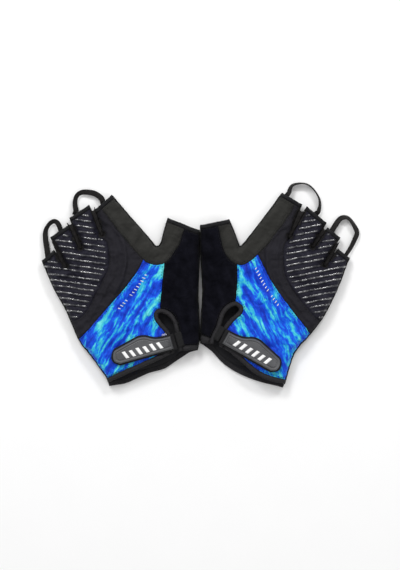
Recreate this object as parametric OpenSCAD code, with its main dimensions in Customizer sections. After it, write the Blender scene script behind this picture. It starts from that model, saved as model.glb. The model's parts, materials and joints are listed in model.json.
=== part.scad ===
// A pair of short-finger sailing gloves, lying palm down with the thumbs together.
// Millimetres. Z is up, the origin is on the surface the gloves lie on, in the middle of the pair.
// One glove is drawn on the +X side; the left glove is that drawing mirrored in the YZ plane.
// Pairs such as [[139.4, 21.6], [132, 24]] hold the same landmark on the left and on the right glove,
// because two soft gloves never lie quite alike.

/* [Cloth] */
// Thickness of the back panels and of the palm panel
cloth = 1.2; // [1:0.1:1.4]
// Thickness of the finger gussets
gusset_cloth = 1; // [0.8:0.1:1.2]
// Length of the folded hem at each finger end
hem_depth = 4; // [3:0.5:5]
// Width of the elastic binding round the wrist opening
binding_w = 4.5; // [3.5:0.5:5]

/* [Volume] */
// Height of the back of the hand above the surface
crown = 14; // [13:0.5:16]
// Fall of the back towards the finger ends, in degrees
finger_fall = 3.5; // [2:0.5:4]
// Thickness of the suede patches under the palm
patch_t = 1; // [0.8:0.1:1.2]
// Thickness of the foam palm pads
pad_t = 2; // [1.5:0.1:2.4]
// Thickness of the lining over the pads
lining_t = 0.6; // [0.4:0.1:0.8]

/* [Grip ribs] */
// Width of one raised silicone rib
rib_w = 1.7; // [1.2:0.1:2.2]
// Distance from one rib to the next
rib_pitch = 5; // [4:0.5:7]
// Height of a rib above the cloth
rib_h = 0.7; // [0.4:0.1:1]

/* [Strap] */
// Length of the rubber tab from its root to its tip
tab_l = 57.5; // [56:0.5:60]
// Thickness of the moulded rubber
tab_t = 1.6; // [1.2:0.1:2]
// Height of the raised rim round the tab
rim_t = 0.5; // [0.3:0.1:0.7]
// Thickness of the strap's cloth backing
backing_t = 0.9; // [0.7:0.1:1.1]
// Thickness of the hook tape
hook_t = 0.8; // [0.6:0.1:1]

/* [Pull loops] */
// Width of the ribbon, which stands on its edge
ribbon_w = 5; // [4:0.5:6]
// Thickness of the ribbon
ribbon_t = 1.2; // [0.9:0.1:1.4]

/* [Hidden] */
PARTS = [
    "palm_patch", "palm_panel", "palm_pads", "palm_lining",
    "finger_panel", "knit_panel", "print_panel", "thumb_panel", "web_band",
    "gusset_index_middle", "gusset_middle_ring", "gusset_ring_little",
    "hem_thumb", "hem_index", "hem_middle", "hem_ring", "hem_little",
    "cuff_binding", "slit_binding", "grip_ribs",
    "strap_anchor", "loop_patch", "strap_backing", "strap_tab", "strap_bars", "hook_pad",
    "pull_loop_index_middle", "pull_loop_ring_little"
];

// ---- Heights of the layers
palm_z = patch_t;
inside_z = palm_z + cloth;
pad_top = inside_z + pad_t;
lining_top = pad_top + lining_t;
above = 30;
knuckle_y = 30;
knuckle_x = 95;
loop_tape_t = 0.8;
free_gap = 0.35;
strap_z = crown + loop_tape_t + free_gap;
backing_z = strap_z + hook_t;
tab_z = backing_z + backing_t;
rim_z = tab_z + tab_t;
strap_top = rim_z + rim_t;
bar_h = 0.4;
rubber_start = 3;

// ---- Landmarks of the outline, clockwise from the thumb side of the wrist
wrist_inner = [[2.5, -57.5], [1, -51.5]];
thumb_side_low = [[0.8, -48], [0.8, -44]];
thumb_side_dip = [[1.6, -5], [2.2, -5]];
thumb_side_high = [[0.8, 30], [0.8, 32]];
thumb_tip_outer = [[1, 48.5], [0.8, 53]];
thumb_tip_inner = [[28.3, 59.3], [25.5, 58]];
thumb_inner_mid = [[31.5, 48.5], [30.2, 47]];
web_thumb = [[34.6, 37.5], [34, 37]];
web_bottom = [[38.3, 34.2], [36, 34.4]];
web_index = [[43.8, 40], [42.5, 41.6]];
index_side_mid = [[62, 60.7], [55, 57.6]];
index_tip_inner = [[78, 79.6], [72.5, 81.4]];
index_tip_outer = [[93, 66.4], [90, 71.3]];
crotch_im = [[86.5, 44.4], [79, 43]];
middle_tip_inner = [[98, 70.8], [94.4, 69.5]];
middle_tip_outer = [[115, 59.4], [111.6, 55]];
crotch_mr = [[105.5, 33], [99.5, 33.8]];
ring_tip_inner = [[116, 53.2], [112.9, 50.8]];
ring_tip_outer = [[132, 42.2], [123.6, 42]];
crotch_rl = [[118.5, 16.5], [110, 18]];
little_tip_inner = [[129.1, 31], [121.9, 32]];
little_tip_outer = [[139.4, 21.6], [132, 24]];
outer_side_1 = [[136, 13.5], [128.7, 16.3]];
outer_side_2 = [[128.2, -4], [124, 3.5]];
outer_side_3 = [[119.2, -20], [116.4, -13.6]];
outer_side_4 = [[112.6, -35], [108.6, -28.5]];
outer_side_5 = [[105.5, -50.5], [95, -46]];
outer_side_6 = [[93, -66.5], [83.2, -60.5]];
wrist_outer = [[82, -82], [76, -82.5]];

// ---- Edges of the wrist opening, from the outer corner to the thumb side
back_mouth = [
    [[80.6, -86.3], [64, -78.6], [52.5, -73.6], [39, -67.6], [22, -59.5], [10, -57.6]],
    [[74.6, -87.6], [62, -84.5], [50, -79.5], [40, -71.5], [30, -62.6], [21, -56.4], [10, -51.8]]
];
palm_mouth = [
    [[80.4, -88.8], [66.6, -87.1], [55.2, -82.3], [44.6, -77.6], [31.4, -73.9], [20, -66.4], [9.5, -59.6]],
    [[73.2, -90.2], [54, -85.8], [35.5, -78.8], [21.4, -70], [10.8, -58.8]]
];

// ---- Seams between the back panels
grip_seam = [
    [[97, 79], [86.5, 44.4], [81.6, 36.5], [79.8, 23.3], [81.6, 12.8], [87.7, -0.4],
        [95.7, -16.3], [103.6, -27.7], [114, -33], [124, -37]],
    [[94, 80], [79, 43], [74.6, 34.5], [73.3, 20], [75.1, 8.4], [80.3, -3],
        [87.4, -12], [94.4, -20.7], [101.5, -28.6], [107.5, -32.5], [118, -38]]
];
print_seam = [
    [[45, 34], [50, 22], [54.3, 12.8], [64, -0.4], [75.4, -13.6], [88.6, -28.6], [99.2, -40.9],
        [107, -48], [117, -56]],
    [[46, 36], [51.3, 25.5], [55.7, 16.3], [62.7, 3.1], [72.4, -11], [82.1, -24.2], [90, -33.9],
        [96.5, -42.5], [104, -54]]
];
thumb_seam = [
    [[31, 30], [31.4, 18.5], [32.7, 8.4], [34.5, -13.6], [34.9, -21], [31.4, -35.6], [25.3, -48.8], [21, -66]],
    [[32.8, 30], [32.8, 18.5], [32.8, 4], [31.5, -13.6], [29.3, -24.2], [24, -35.6], [17, -47], [13, -64]]
];
band_edge = [
    [[10, 64], [12.9, 53], [14.7, 46], [18.2, 36.5], [25.3, 25.1], [30.5, 19.6], [37.6, 17.6], [44.6, 18.8],
        [50.4, 22.4], [61.6, 35.3], [71.9, 48], [88.6, 69.5], [95, 78]],
    [[14.5, 64], [15.8, 52.7], [19.8, 34.2], [24.3, 24.6], [31, 18.6], [39.4, 18.2], [52.4, 28.1],
        [65.4, 43.3], [78.1, 61], [83.5, 71], [88, 82]]
];

// ---- Wrist slit beside the thumb, along the outer edge of its binding
slit_edge = [
    [[14.6, -62], [16, -52.5], [18.2, -40], [20.9, -30.4], [27, -23.3], [34.5, -20.7], [39.6, -23.4],
        [40.2, -29.5], [35.8, -36], [30, -43], [27, -51], [25.6, -66]],
    [[5, -60], [9.4, -46], [14.3, -36.5], [17.9, -25], [23.1, -18], [30.2, -14.5], [35.7, -16.5], [38.1, -21.2],
        [35.5, -26.6], [28.5, -33], [23, -42], [19.5, -62]]
];

// ---- Strap root on the glove and the direction it points in
strap_root = [[21.3, -48.8], [19.6, -44]];
strap_turn = [-16, -29.6];
strap_gap = 0.5;

// ---- Routes of the two ribbon loops, from finger end to finger end
loop_im = [
    [[85.4, 74.9], [91, 80], [99, 82], [106, 81.4], [109.8, 77], [110.4, 70], [108.9, 64.9]],
    [[78.4, 79.9], [79.9, 86.3], [84, 89.2], [91.8, 89.7], [98, 87], [103.2, 80.5], [105.8, 74.4],
        [105.6, 68.2], [104, 63.2]]
];
loop_rl = [
    [[123.4, 49.6], [125.4, 54.3], [129, 56.3], [133.4, 53.4], [136.4, 47.2], [136.2, 39.5], [134.6, 27.4]],
    [[117, 48.8], [121.6, 56], [125.4, 59.4], [130.6, 59.2], [135, 54.2], [138.6, 46.6], [136.4, 40],
        [133.6, 34], [129.4, 27.4]]
];

// ---- Palm patches and pads, as shares of the way from the palm's centre to a landmark
palm_centre = [[62, -12], [58, -10]];
patch_reach = 0.84;
lining_reach = 0.9;

function unit(v) = v / norm(v);
function right_of(v) = [v[1], -v[0]];
function mix(a, b, t) = a + (b - a) * t;
function reversed(p) = [for (i = [len(p) - 1:-1:0]) p[i]];
function tangent(p, i) = unit(p[min(i + 1, len(p) - 1)] - p[max(i - 1, 0)]);
function moved(p, d) = [for (i = [0:len(p) - 1]) p[i] + d * right_of(tangent(p, i))];
function longer(p, e) = concat(
    [p[0] - e * tangent(p, 0)],
    p,
    [p[len(p) - 1] + e * tangent(p, len(p) - 1)]
);

// A smooth curve through the points of p, with n steps from each point to the next
function bend(a, b, c, d, t) =
    0.5 * (2 * b + (c - a) * t + (2 * a - 5 * b + 4 * c - d) * t * t + (3 * b - a - 3 * c + d) * t * t * t);
function curve(p, n = 4) = concat(
    [for (i = [0:len(p) - 2]) for (j = [0:n - 1])
        bend(p[max(i - 1, 0)], p[i], p[i + 1], p[min(i + 2, len(p) - 1)], j / n)],
    [p[len(p) - 1]]
);
function loop_curve(p, n = 4) = [for (i = [0:len(p) - 1]) for (j = [0:n - 1])
    bend(p[(i + len(p) - 1) % len(p)], p[i], p[(i + 1) % len(p)], p[(i + 2) % len(p)], j / n)];

// The slot between two fingers: down one side, round its bottom and up the other side
slot_r = 0.9;
function slot(a, c, b) =
    let (
        down = unit(c - a),
        up = unit(b - c),
        from = atan2(-right_of(down)[1], -right_of(down)[0]) + 180,
        to = atan2(-right_of(up)[1], -right_of(up)[0]) + 180,
        sweep = ((to - from) % 360 + 360) % 360
    )
    concat([a], [for (k = [0:4]) c + slot_r * [cos(from + sweep * k / 4), sin(from + sweep * k / 4)]], [b]);

// ---- Walls of the glove, clockwise
function thumb_wall(s) = concat(
    [wrist_inner[s]],
    curve([thumb_side_low[s], thumb_side_dip[s], thumb_side_high[s], thumb_tip_outer[s]])
);
function web_wall(s) = curve([thumb_tip_inner[s], thumb_inner_mid[s], web_thumb[s], web_bottom[s],
    web_index[s], index_side_mid[s], index_tip_inner[s]]);
function slot_im(s) = slot(index_tip_outer[s], crotch_im[s], middle_tip_inner[s]);
function slot_mr(s) = slot(middle_tip_outer[s], crotch_mr[s], ring_tip_inner[s]);
function slot_rl(s) = slot(ring_tip_outer[s], crotch_rl[s], little_tip_inner[s]);
function outer_wall(s) = curve([little_tip_outer[s], outer_side_1[s], outer_side_2[s], outer_side_3[s],
    outer_side_4[s], outer_side_5[s], outer_side_6[s], wrist_outer[s]]);
function walls(s) = concat(thumb_wall(s), web_wall(s), slot_im(s), slot_mr(s), slot_rl(s), outer_wall(s));

function back_outline(s) = concat(walls(s), curve(back_mouth[s]));
function palm_outline(s) = concat(walls(s), curve(palm_mouth[s]));

// The hollow: every wall moved in by the cloth and run out through the open ends
reach_out = 7;
function hollow_outline(s) = concat(
    moved(thumb_wall(s), cloth),
    [thumb_tip_outer[s] + [cloth, reach_out]],
    [thumb_tip_inner[s] + [-cloth, reach_out]],
    moved(web_wall(s), cloth),
    [mix(index_tip_inner[s], index_tip_outer[s], 0.15) + reach_out * outward(index_tip_inner[s], index_tip_outer[s])],
    longer(moved(slot_im(s), gusset_cloth), reach_out),
    longer(moved(slot_mr(s), gusset_cloth), reach_out),
    longer(moved(slot_rl(s), gusset_cloth), reach_out),
    longer(moved(outer_wall(s), cloth), reach_out),
    [wrist_outer[s] + [-20, -26]],
    [wrist_inner[s] + [cloth, -26]]
);
function outward(a, b) = -right_of(unit(b - a));

// Strip across a finger end, from the open edge back by the hem's depth
function hem_strip(a, b) =
    let (along = unit(b - a), out = outward(a, b), side = 1.2)
    [a - side * along + 3 * out, b + side * along + 3 * out,
        b + side * along - hem_depth * out, a - side * along - hem_depth * out];

// Space under the back: flat over the hand, falling towards the finger ends and the little finger
module slope(turn, start, top) {
    rotate(turn)
        translate([start, 0, top])
            rotate([0, finger_fall, 0])
                translate([-300, -300, -60])
                    cube([600, 600, 60]);
}

module under_back(lift) {
    intersection() {
        translate([-50, -150, -1])
            cube([250, 300, crown + lift + 1]);
        slope(0, knuckle_x, crown + lift);
        slope(90, knuckle_y, crown + lift);
    }
}

module prism(points, z0, z1) {
    translate([0, 0, z0])
        linear_extrude(z1 - z0)
            polygon(points);
}

module on_side(s) {
    if (s == 0)
        mirror([1, 0, 0]) children();
    else
        children();
}

module hollow(s) {
    intersection() {
        prism(hollow_outline(s), inside_z, above);
        under_back(-cloth);
    }
}

module hem_blocks(s) {
    prism(hem_strip(thumb_tip_outer[s], thumb_tip_inner[s]), -1, above);
    prism(hem_strip(index_tip_inner[s], index_tip_outer[s]), -1, above);
    prism(hem_strip(middle_tip_inner[s], middle_tip_outer[s]), -1, above);
    prism(hem_strip(ring_tip_inner[s], ring_tip_outer[s]), -1, above);
    prism(hem_strip(little_tip_inner[s], little_tip_outer[s]), -1, above);
}

// ---- Regions that the seams cut the glove into, each running out past the outline
function band_region(s) = concat(curve(band_edge[s]), [[100, 100], [48, 110], [5, 90]]);
function fingers_region(s) = concat(curve(grip_seam[s]), [[160, -40], [160, 100]]);
function knit_region(s) = concat(
    curve(grip_seam[s]),
    reversed(curve(print_seam[s])),
    [[45, 100]]
);
function print_region(s) = concat(
    curve(print_seam[s]),
    [[125, -110], [15, -110]],
    reversed(curve(thumb_seam[s]))
);
function thumb_region(s) = concat(
    curve(thumb_seam[s]),
    [[-10, -110], [-10, 100], [31, 100]]
);
function cuff_region(s) = concat(
    longer(moved(curve(back_mouth[s]), binding_w), 12),
    [[-10, -110], [110, -110]]
);
function palm_cuff_region(s) = concat(
    longer(moved(curve(palm_mouth[s]), binding_w), 12),
    [[-10, -110], [110, -110]]
);
function slit_region(s) = curve(slit_edge[s]);
function slit_hole(s) = moved(curve(slit_edge[s]), 4);

module back_shell(s, region) {
    difference() {
        intersection() {
            prism(back_outline(s), inside_z, above);
            prism(region, inside_z, above);
            under_back(0);
        }
        hollow(s);
        hem_blocks(s);
        prism(cuff_region(s), 0, above);
        prism(slit_region(s), 0, above);
    }
}

// ---- Palm side
module palm_patch(s) {
    c = palm_centre[s];
    rim = [wrist_inner[s], thumb_side_dip[s], mix(web_bottom[s], thumb_tip_inner[s], -0.1), crotch_im[s],
        crotch_mr[s], crotch_rl[s], outer_side_2[s], outer_side_4[s], outer_side_6[s], palm_mouth[s][2]];
    color([0.16, 0.155, 0.15]) {
        prism(loop_curve([for (p = rim) mix(c, p, patch_reach)]), 0, patch_t);
        for (f = [[index_tip_inner, index_tip_outer, web_index, crotch_im],
                [middle_tip_inner, middle_tip_outer, crotch_im, crotch_mr],
                [ring_tip_inner, ring_tip_outer, crotch_mr, crotch_rl],
                [little_tip_inner, little_tip_outer, crotch_rl, outer_side_1]]) {
            tip = mix(f[0][s], f[1][s], 0.5);
            root = mix(f[2][s], f[3][s], 0.5);
            finger_patch(mix(tip, root, 0.28), mix(tip, root, 0.72), 0.26 * norm(f[0][s] - f[1][s]));
        }
    }
}

// A round-ended patch from a to b with half width r
module finger_patch(a, b, r) {
    d = unit(b - a);
    n = right_of(d);
    turn = atan2(d[1], d[0]);
    prism(concat(
        [for (k = [-3:3]) b + r * [cos(turn + k * 30), sin(turn + k * 30)]],
        [for (k = [-3:3]) a - r * [cos(turn + k * 30), sin(turn + k * 30)]]
    ), 0, patch_t);
}

module palm_panel(s) {
    color([0.07, 0.07, 0.08])
        difference() {
            prism(palm_outline(s), palm_z, inside_z);
            hem_blocks(s);
            prism(palm_cuff_region(s), 0, above);
        }
}

function pad_outline(centre, r, squeeze, turn) = [for (k = [0:15])
    let (a = k * 22.5, x = r * cos(a), y = r * squeeze * sin(a))
    centre + [x * cos(turn) - y * sin(turn), x * sin(turn) + y * cos(turn)]];
function pads(s) = [
    pad_outline(mix(palm_centre[s], wrist_inner[s], 0.48), 17, 0.7, 75),
    pad_outline(mix(palm_centre[s], outer_side_5[s], 0.4), 18, 0.66, 60),
    pad_outline(mix(palm_centre[s], crotch_mr[s], 0.46), 21, 0.42, -33)
];

module palm_pads(s) {
    color([0.35, 0.35, 0.37])
        for (p = pads(s))
            prism(p, inside_z, pad_top);
}

module palm_lining(s) {
    c = palm_centre[s];
    rim = [mix(wrist_inner[s], palm_mouth[s][4], 0.3), thumb_side_dip[s], web_bottom[s], crotch_im[s],
        crotch_mr[s], crotch_rl[s], outer_side_2[s], outer_side_4[s], outer_side_6[s], palm_mouth[s][2]];
    color([0.1, 0.1, 0.11])
        difference() {
            prism(loop_curve([for (p = rim) mix(c, p, lining_reach)]), inside_z, lining_top);
            for (p = pads(s))
                prism(p, inside_z, pad_top);
        }
}

// ---- Back of the hand
module finger_panel(s) {
    color([0.08, 0.08, 0.11])
        difference() {
            back_shell(s, fingers_region(s));
            gusset_space(s);
        }
}

module knit_panel(s) {
    color([0.09, 0.08, 0.09])
        difference() {
            back_shell(s, knit_region(s));
            prism(band_region(s), 0, above);
            gusset_space(s);
        }
}

module print_panel(s) {
    color([0.05, 0.4, 0.9])
        difference() {
            back_shell(s, print_region(s));
            prism(band_region(s), 0, above);
        }
}

module thumb_panel(s) {
    color([0.04, 0.04, 0.06])
        difference() {
            back_shell(s, thumb_region(s));
            prism(band_region(s), 0, above);
        }
}

module web_band(s) {
    color([0.17, 0.165, 0.15])
        back_shell(s, band_region(s));
}

// ---- Gussets: thin walls that line the slots between the fingers
module gusset_space(s) {
    for (p = [slot_im(s), slot_mr(s), slot_rl(s)])
        intersection() {
            prism(concat(longer(p, 4), reversed(longer(moved(p, gusset_cloth), 4))), inside_z, above);
            under_back(-cloth);
        }
}

module gusset(s, p) {
    color([0.12, 0.11, 0.11])
        difference() {
            intersection() {
                prism(concat(p, reversed(moved(p, gusset_cloth))), inside_z, above);
                under_back(-cloth);
            }
            hem_blocks(s);
        }
}

module hem(s, tip_a, tip_b) {
    a = tip_a[s];
    b = tip_b[s];
    color([0.1, 0.1, 0.11])
        difference() {
            intersection() {
                prism(back_outline(s), palm_z, above);
                prism(hem_strip(a, b), palm_z, above);
                under_back(0);
            }
            hollow(s);
        }
}

// ---- Elastic bindings of the wrist
module cuff_binding(s) {
    color([0.14, 0.135, 0.14]) {
        difference() {
            intersection() {
                prism(back_outline(s), inside_z, above);
                prism(cuff_region(s), inside_z, above);
                under_back(0);
            }
            hollow(s);
            prism(slit_region(s), 0, above);
        }
        intersection() {
            prism(palm_outline(s), palm_z, inside_z);
            prism(palm_cuff_region(s), palm_z, inside_z);
        }
    }
}

module slit_binding(s) {
    color([0.14, 0.135, 0.14])
        difference() {
            intersection() {
                prism(back_outline(s), inside_z, above);
                prism(slit_region(s), inside_z, above);
                under_back(0);
            }
            hollow(s);
            prism(slit_hole(s), 0, above);
        }
}

// ---- Raised silicone ribs across the fingers and knuckles, kept a little way from the seams
rib_lean = [8, 11];
rib_setback = 1.5;
rib_l = 90;
module grip_ribs(s) {
    color([0.1, 0.1, 0.13])
        difference() {
            intersection() {
                prism(back_outline(s), inside_z, above);
                prism(moved(fingers_region(s), -rib_setback), inside_z, above);
                under_back(rib_h);
                translate([knuckle_x, -rib_w / 2, 0])
                    rotate(rib_lean[s])
                        for (k = [-10:12])
                            translate([-rib_l / 2, k * rib_pitch, 0])
                                cube([rib_l, rib_w, above]);
            }
            under_back(0);
            hem_blocks(s);
            for (p = [slot_im(s), slot_mr(s), slot_rl(s)])
                prism(concat(longer(p, 4), reversed(longer(moved(p, 1 + rib_setback), 4))), 0, above);
        }
}

// ---- Strap: a moulded tab that peels up from its root beside the slit
function tab_outline(start, grow) = let (w = 6.8 + grow)
    concat(
        [[start, -w]],
        curve([[tab_l - 5, -w], [tab_l - 0.6 + grow, -3.6], [tab_l + grow, 1.5], [tab_l - 2.5, 6.4 + grow],
            [tab_l - 8, 8.2 + grow], [38, 10.8 + grow], [31, 12.2 + grow], [24.5, 11.2 + grow],
            [17.5, 7.4 + grow], [10, 6 + grow]]),
        [[start, 5.6 + grow]]
    );

module at_strap(s) {
    translate([strap_root[s][0], strap_root[s][1], 0])
        rotate(strap_turn[s])
            children();
}

module strap_anchor(s) {
    color([0.13, 0.13, 0.135])
        at_strap(s)
            prism([[-7, -6.8], [-strap_gap, -6.8], [-strap_gap, 6.6], [-7, 6.6]], crown, tab_z - 0.4);
}

module loop_patch(s) {
    color([0.1, 0.1, 0.1])
        at_strap(s)
            prism([[22, -5.6], [52, -5.6], [52, 5.6], [22, 5.6]], crown, crown + loop_tape_t);
}

module strap_backing(s) {
    color([0.12, 0.12, 0.125])
        at_strap(s)
            prism(tab_outline(strap_gap, 0.9), backing_z, tab_z);
}

module strap_tab(s) {
    color([0.3, 0.3, 0.32])
        at_strap(s) {
            prism(tab_outline(rubber_start, 0), tab_z, rim_z);
            difference() {
                prism(tab_outline(rubber_start, 0), rim_z, strap_top);
                prism(tab_outline(rubber_start + 1.6, -1.6), rim_z, strap_top + 1);
            }
        }
}

module strap_bars(s) {
    color([0.92, 0.92, 0.92])
        at_strap(s)
            for (k = [0:5])
                translate([12 + k * 6.2, -3.2, rim_z])
                    linear_extrude(bar_h)
                        polygon([[0, 0], [3, 0], [5.4, 6 + 0.5 * (k % 2)], [2.4, 6 + 0.5 * (k % 2)]]);
}

module hook_pad(s) {
    color([0.08, 0.08, 0.08])
        at_strap(s)
            prism([[27, -5.2], [53.5, -5.2], [53.5, 5.2], [27, 5.2]], strap_z, backing_z);
}

// ---- Ribbon loops that pull the gloves off
module pull_loop(s, route) {
    path = curve(route[s]);
    color([0.11, 0.1, 0.1])
        prism(concat(moved(path, -ribbon_t / 2), reversed(moved(path, ribbon_t / 2))), palm_z, palm_z + ribbon_w);
}

on_side(0) palm_patch(0);  // left_palm_patch
on_side(0) palm_panel(0);  // left_palm_panel
on_side(0) palm_pads(0);  // left_palm_pads
on_side(0) palm_lining(0);  // left_palm_lining
on_side(0) finger_panel(0);  // left_finger_panel
on_side(0) knit_panel(0);  // left_knit_panel
on_side(0) print_panel(0);  // left_print_panel
on_side(0) thumb_panel(0);  // left_thumb_panel
on_side(0) web_band(0);  // left_web_band
on_side(0) gusset(0, slot_im(0));  // left_gusset_index_middle
on_side(0) gusset(0, slot_mr(0));  // left_gusset_middle_ring
on_side(0) gusset(0, slot_rl(0));  // left_gusset_ring_little
on_side(0) hem(0, thumb_tip_outer, thumb_tip_inner);  // left_hem_thumb
on_side(0) hem(0, index_tip_inner, index_tip_outer);  // left_hem_index
on_side(0) hem(0, middle_tip_inner, middle_tip_outer);  // left_hem_middle
on_side(0) hem(0, ring_tip_inner, ring_tip_outer);  // left_hem_ring
on_side(0) hem(0, little_tip_inner, little_tip_outer);  // left_hem_little
on_side(0) cuff_binding(0);  // left_cuff_binding
on_side(0) slit_binding(0);  // left_slit_binding
on_side(0) grip_ribs(0);  // left_grip_ribs
on_side(0) strap_anchor(0);  // left_strap_anchor
on_side(0) loop_patch(0);  // left_loop_patch
on_side(0) strap_backing(0);  // left_strap_backing
on_side(0) strap_tab(0);  // left_strap_tab
on_side(0) strap_bars(0);  // left_strap_bars
on_side(0) hook_pad(0);  // left_hook_pad
on_side(0) pull_loop(0, loop_im);  // left_pull_loop_index_middle
on_side(0) pull_loop(0, loop_rl);  // left_pull_loop_ring_little
on_side(1) palm_patch(1);  // right_palm_patch
on_side(1) palm_panel(1);  // right_palm_panel
on_side(1) palm_pads(1);  // right_palm_pads
on_side(1) palm_lining(1);  // right_palm_lining
on_side(1) finger_panel(1);  // right_finger_panel
on_side(1) knit_panel(1);  // right_knit_panel
on_side(1) print_panel(1);  // right_print_panel
on_side(1) thumb_panel(1);  // right_thumb_panel
on_side(1) web_band(1);  // right_web_band
on_side(1) gusset(1, slot_im(1));  // right_gusset_index_middle
on_side(1) gusset(1, slot_mr(1));  // right_gusset_middle_ring
on_side(1) gusset(1, slot_rl(1));  // right_gusset_ring_little
on_side(1) hem(1, thumb_tip_outer, thumb_tip_inner);  // right_hem_thumb
on_side(1) hem(1, index_tip_inner, index_tip_outer);  // right_hem_index
on_side(1) hem(1, middle_tip_inner, middle_tip_outer);  // right_hem_middle
on_side(1) hem(1, ring_tip_inner, ring_tip_outer);  // right_hem_ring
on_side(1) hem(1, little_tip_inner, little_tip_outer);  // right_hem_little
on_side(1) cuff_binding(1);  // right_cuff_binding
on_side(1) slit_binding(1);  // right_slit_binding
on_side(1) grip_ribs(1);  // right_grip_ribs
on_side(1) strap_anchor(1);  // right_strap_anchor
on_side(1) loop_patch(1);  // right_loop_patch
on_side(1) strap_backing(1);  // right_strap_backing
on_side(1) strap_tab(1);  // right_strap_tab
on_side(1) strap_bars(1);  // right_strap_bars
on_side(1) hook_pad(1);  // right_hook_pad
on_side(1) pull_loop(1, loop_im);  // right_pull_loop_index_middle
on_side(1) pull_loop(1, loop_rl);  // right_pull_loop_ring_little
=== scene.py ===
import json
import math
import random

import bmesh
import bpy
import numpy as np
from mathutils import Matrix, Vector
from mathutils.bvhtree import BVHTree
from mathutils.geometry import delaunay_2d_cdt
from mathutils.kdtree import KDTree


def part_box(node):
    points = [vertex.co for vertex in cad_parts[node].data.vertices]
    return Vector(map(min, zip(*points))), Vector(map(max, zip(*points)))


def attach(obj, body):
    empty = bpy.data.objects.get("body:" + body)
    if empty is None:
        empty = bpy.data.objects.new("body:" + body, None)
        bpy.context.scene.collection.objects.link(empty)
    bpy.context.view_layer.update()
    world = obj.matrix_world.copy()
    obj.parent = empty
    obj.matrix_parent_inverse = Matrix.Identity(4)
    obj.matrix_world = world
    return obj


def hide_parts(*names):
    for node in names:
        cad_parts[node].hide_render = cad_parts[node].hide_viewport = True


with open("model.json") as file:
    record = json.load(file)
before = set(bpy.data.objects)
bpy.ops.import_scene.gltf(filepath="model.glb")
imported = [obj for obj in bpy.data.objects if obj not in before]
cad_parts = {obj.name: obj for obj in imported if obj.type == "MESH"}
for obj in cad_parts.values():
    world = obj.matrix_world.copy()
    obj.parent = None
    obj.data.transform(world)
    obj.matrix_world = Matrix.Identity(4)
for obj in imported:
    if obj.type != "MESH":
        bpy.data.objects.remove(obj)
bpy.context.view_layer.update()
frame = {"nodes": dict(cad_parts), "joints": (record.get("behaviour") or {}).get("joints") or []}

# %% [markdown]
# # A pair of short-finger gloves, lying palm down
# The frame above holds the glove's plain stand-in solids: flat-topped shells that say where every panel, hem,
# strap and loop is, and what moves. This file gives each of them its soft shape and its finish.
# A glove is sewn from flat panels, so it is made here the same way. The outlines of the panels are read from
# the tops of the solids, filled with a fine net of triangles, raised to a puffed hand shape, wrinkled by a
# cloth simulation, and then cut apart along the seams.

MM = 0.001
SIDES = ("left", "right")
NODES = frame["nodes"]

# %% [markdown]
# ## Camera, floor and light
# The gloves are seen from straight above, so the camera is a long lens high over the middle of the pair.
# The floor is nearly white, and large soft lamps on all sides keep the shadows faint, while one lamp at
# the far side draws the highlights along the rubber ribs and the strap.

# %% Camera
VIEW_WIDTH = 352 * MM
CAMERA_HEIGHT = 1.9
IMAGE_TALL = 570 / 400
scene = bpy.context.scene
camera_data = bpy.data.cameras.new("camera")
camera = bpy.data.objects.new("camera", camera_data)
scene.collection.objects.link(camera)
camera.location = (0, 0, CAMERA_HEIGHT)
camera_data.sensor_fit = "HORIZONTAL"
camera_data.angle = 2 * math.atan(VIEW_WIDTH / 2 / (CAMERA_HEIGHT - 0.01))
scene.camera = camera
print("view", VIEW_WIDTH, "by", VIEW_WIDTH * IMAGE_TALL)


# %% A class that writes shader maths as Python
class Sock:
    """One output of a shader tree. Sums and products of these add their Math nodes."""

    def __init__(self, tree, out):
        self.tree = tree
        self.out = out

    def maths(self, operation, *values):
        node = self.tree.nodes.new("ShaderNodeMath")
        node.operation = operation
        for socket, value in zip(node.inputs, values):
            plug(self.tree, socket, value)
        return Sock(self.tree, node.outputs[0])

    def __add__(self, other):
        return self.maths("ADD", self, other)

    def __radd__(self, other):
        return self.maths("ADD", other, self)

    def __sub__(self, other):
        return self.maths("SUBTRACT", self, other)

    def __rsub__(self, other):
        return self.maths("SUBTRACT", other, self)

    def __mul__(self, other):
        return self.maths("MULTIPLY", self, other)

    def __rmul__(self, other):
        return self.maths("MULTIPLY", other, self)

    def __truediv__(self, other):
        return self.maths("DIVIDE", self, other)

    def __pow__(self, other):
        return self.maths("POWER", self, other)

    def sin(self):
        return self.maths("SINE", self)

    def clip(self):
        return self.maths("MINIMUM", self.maths("MAXIMUM", self, 0.0), 1.0)

    def step(self, low, high):
        return ((self - low) * (1 / (high - low))).clip()


def plug(tree, socket, value):
    """Link a Sock to a socket, or set the socket's own value."""
    if isinstance(value, Sock):
        tree.links.new(value.out, socket)
    elif hasattr(socket.default_value, "__len__") and not hasattr(value, "__len__"):
        socket.default_value = [value] * len(socket.default_value)
    else:
        socket.default_value = value


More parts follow.
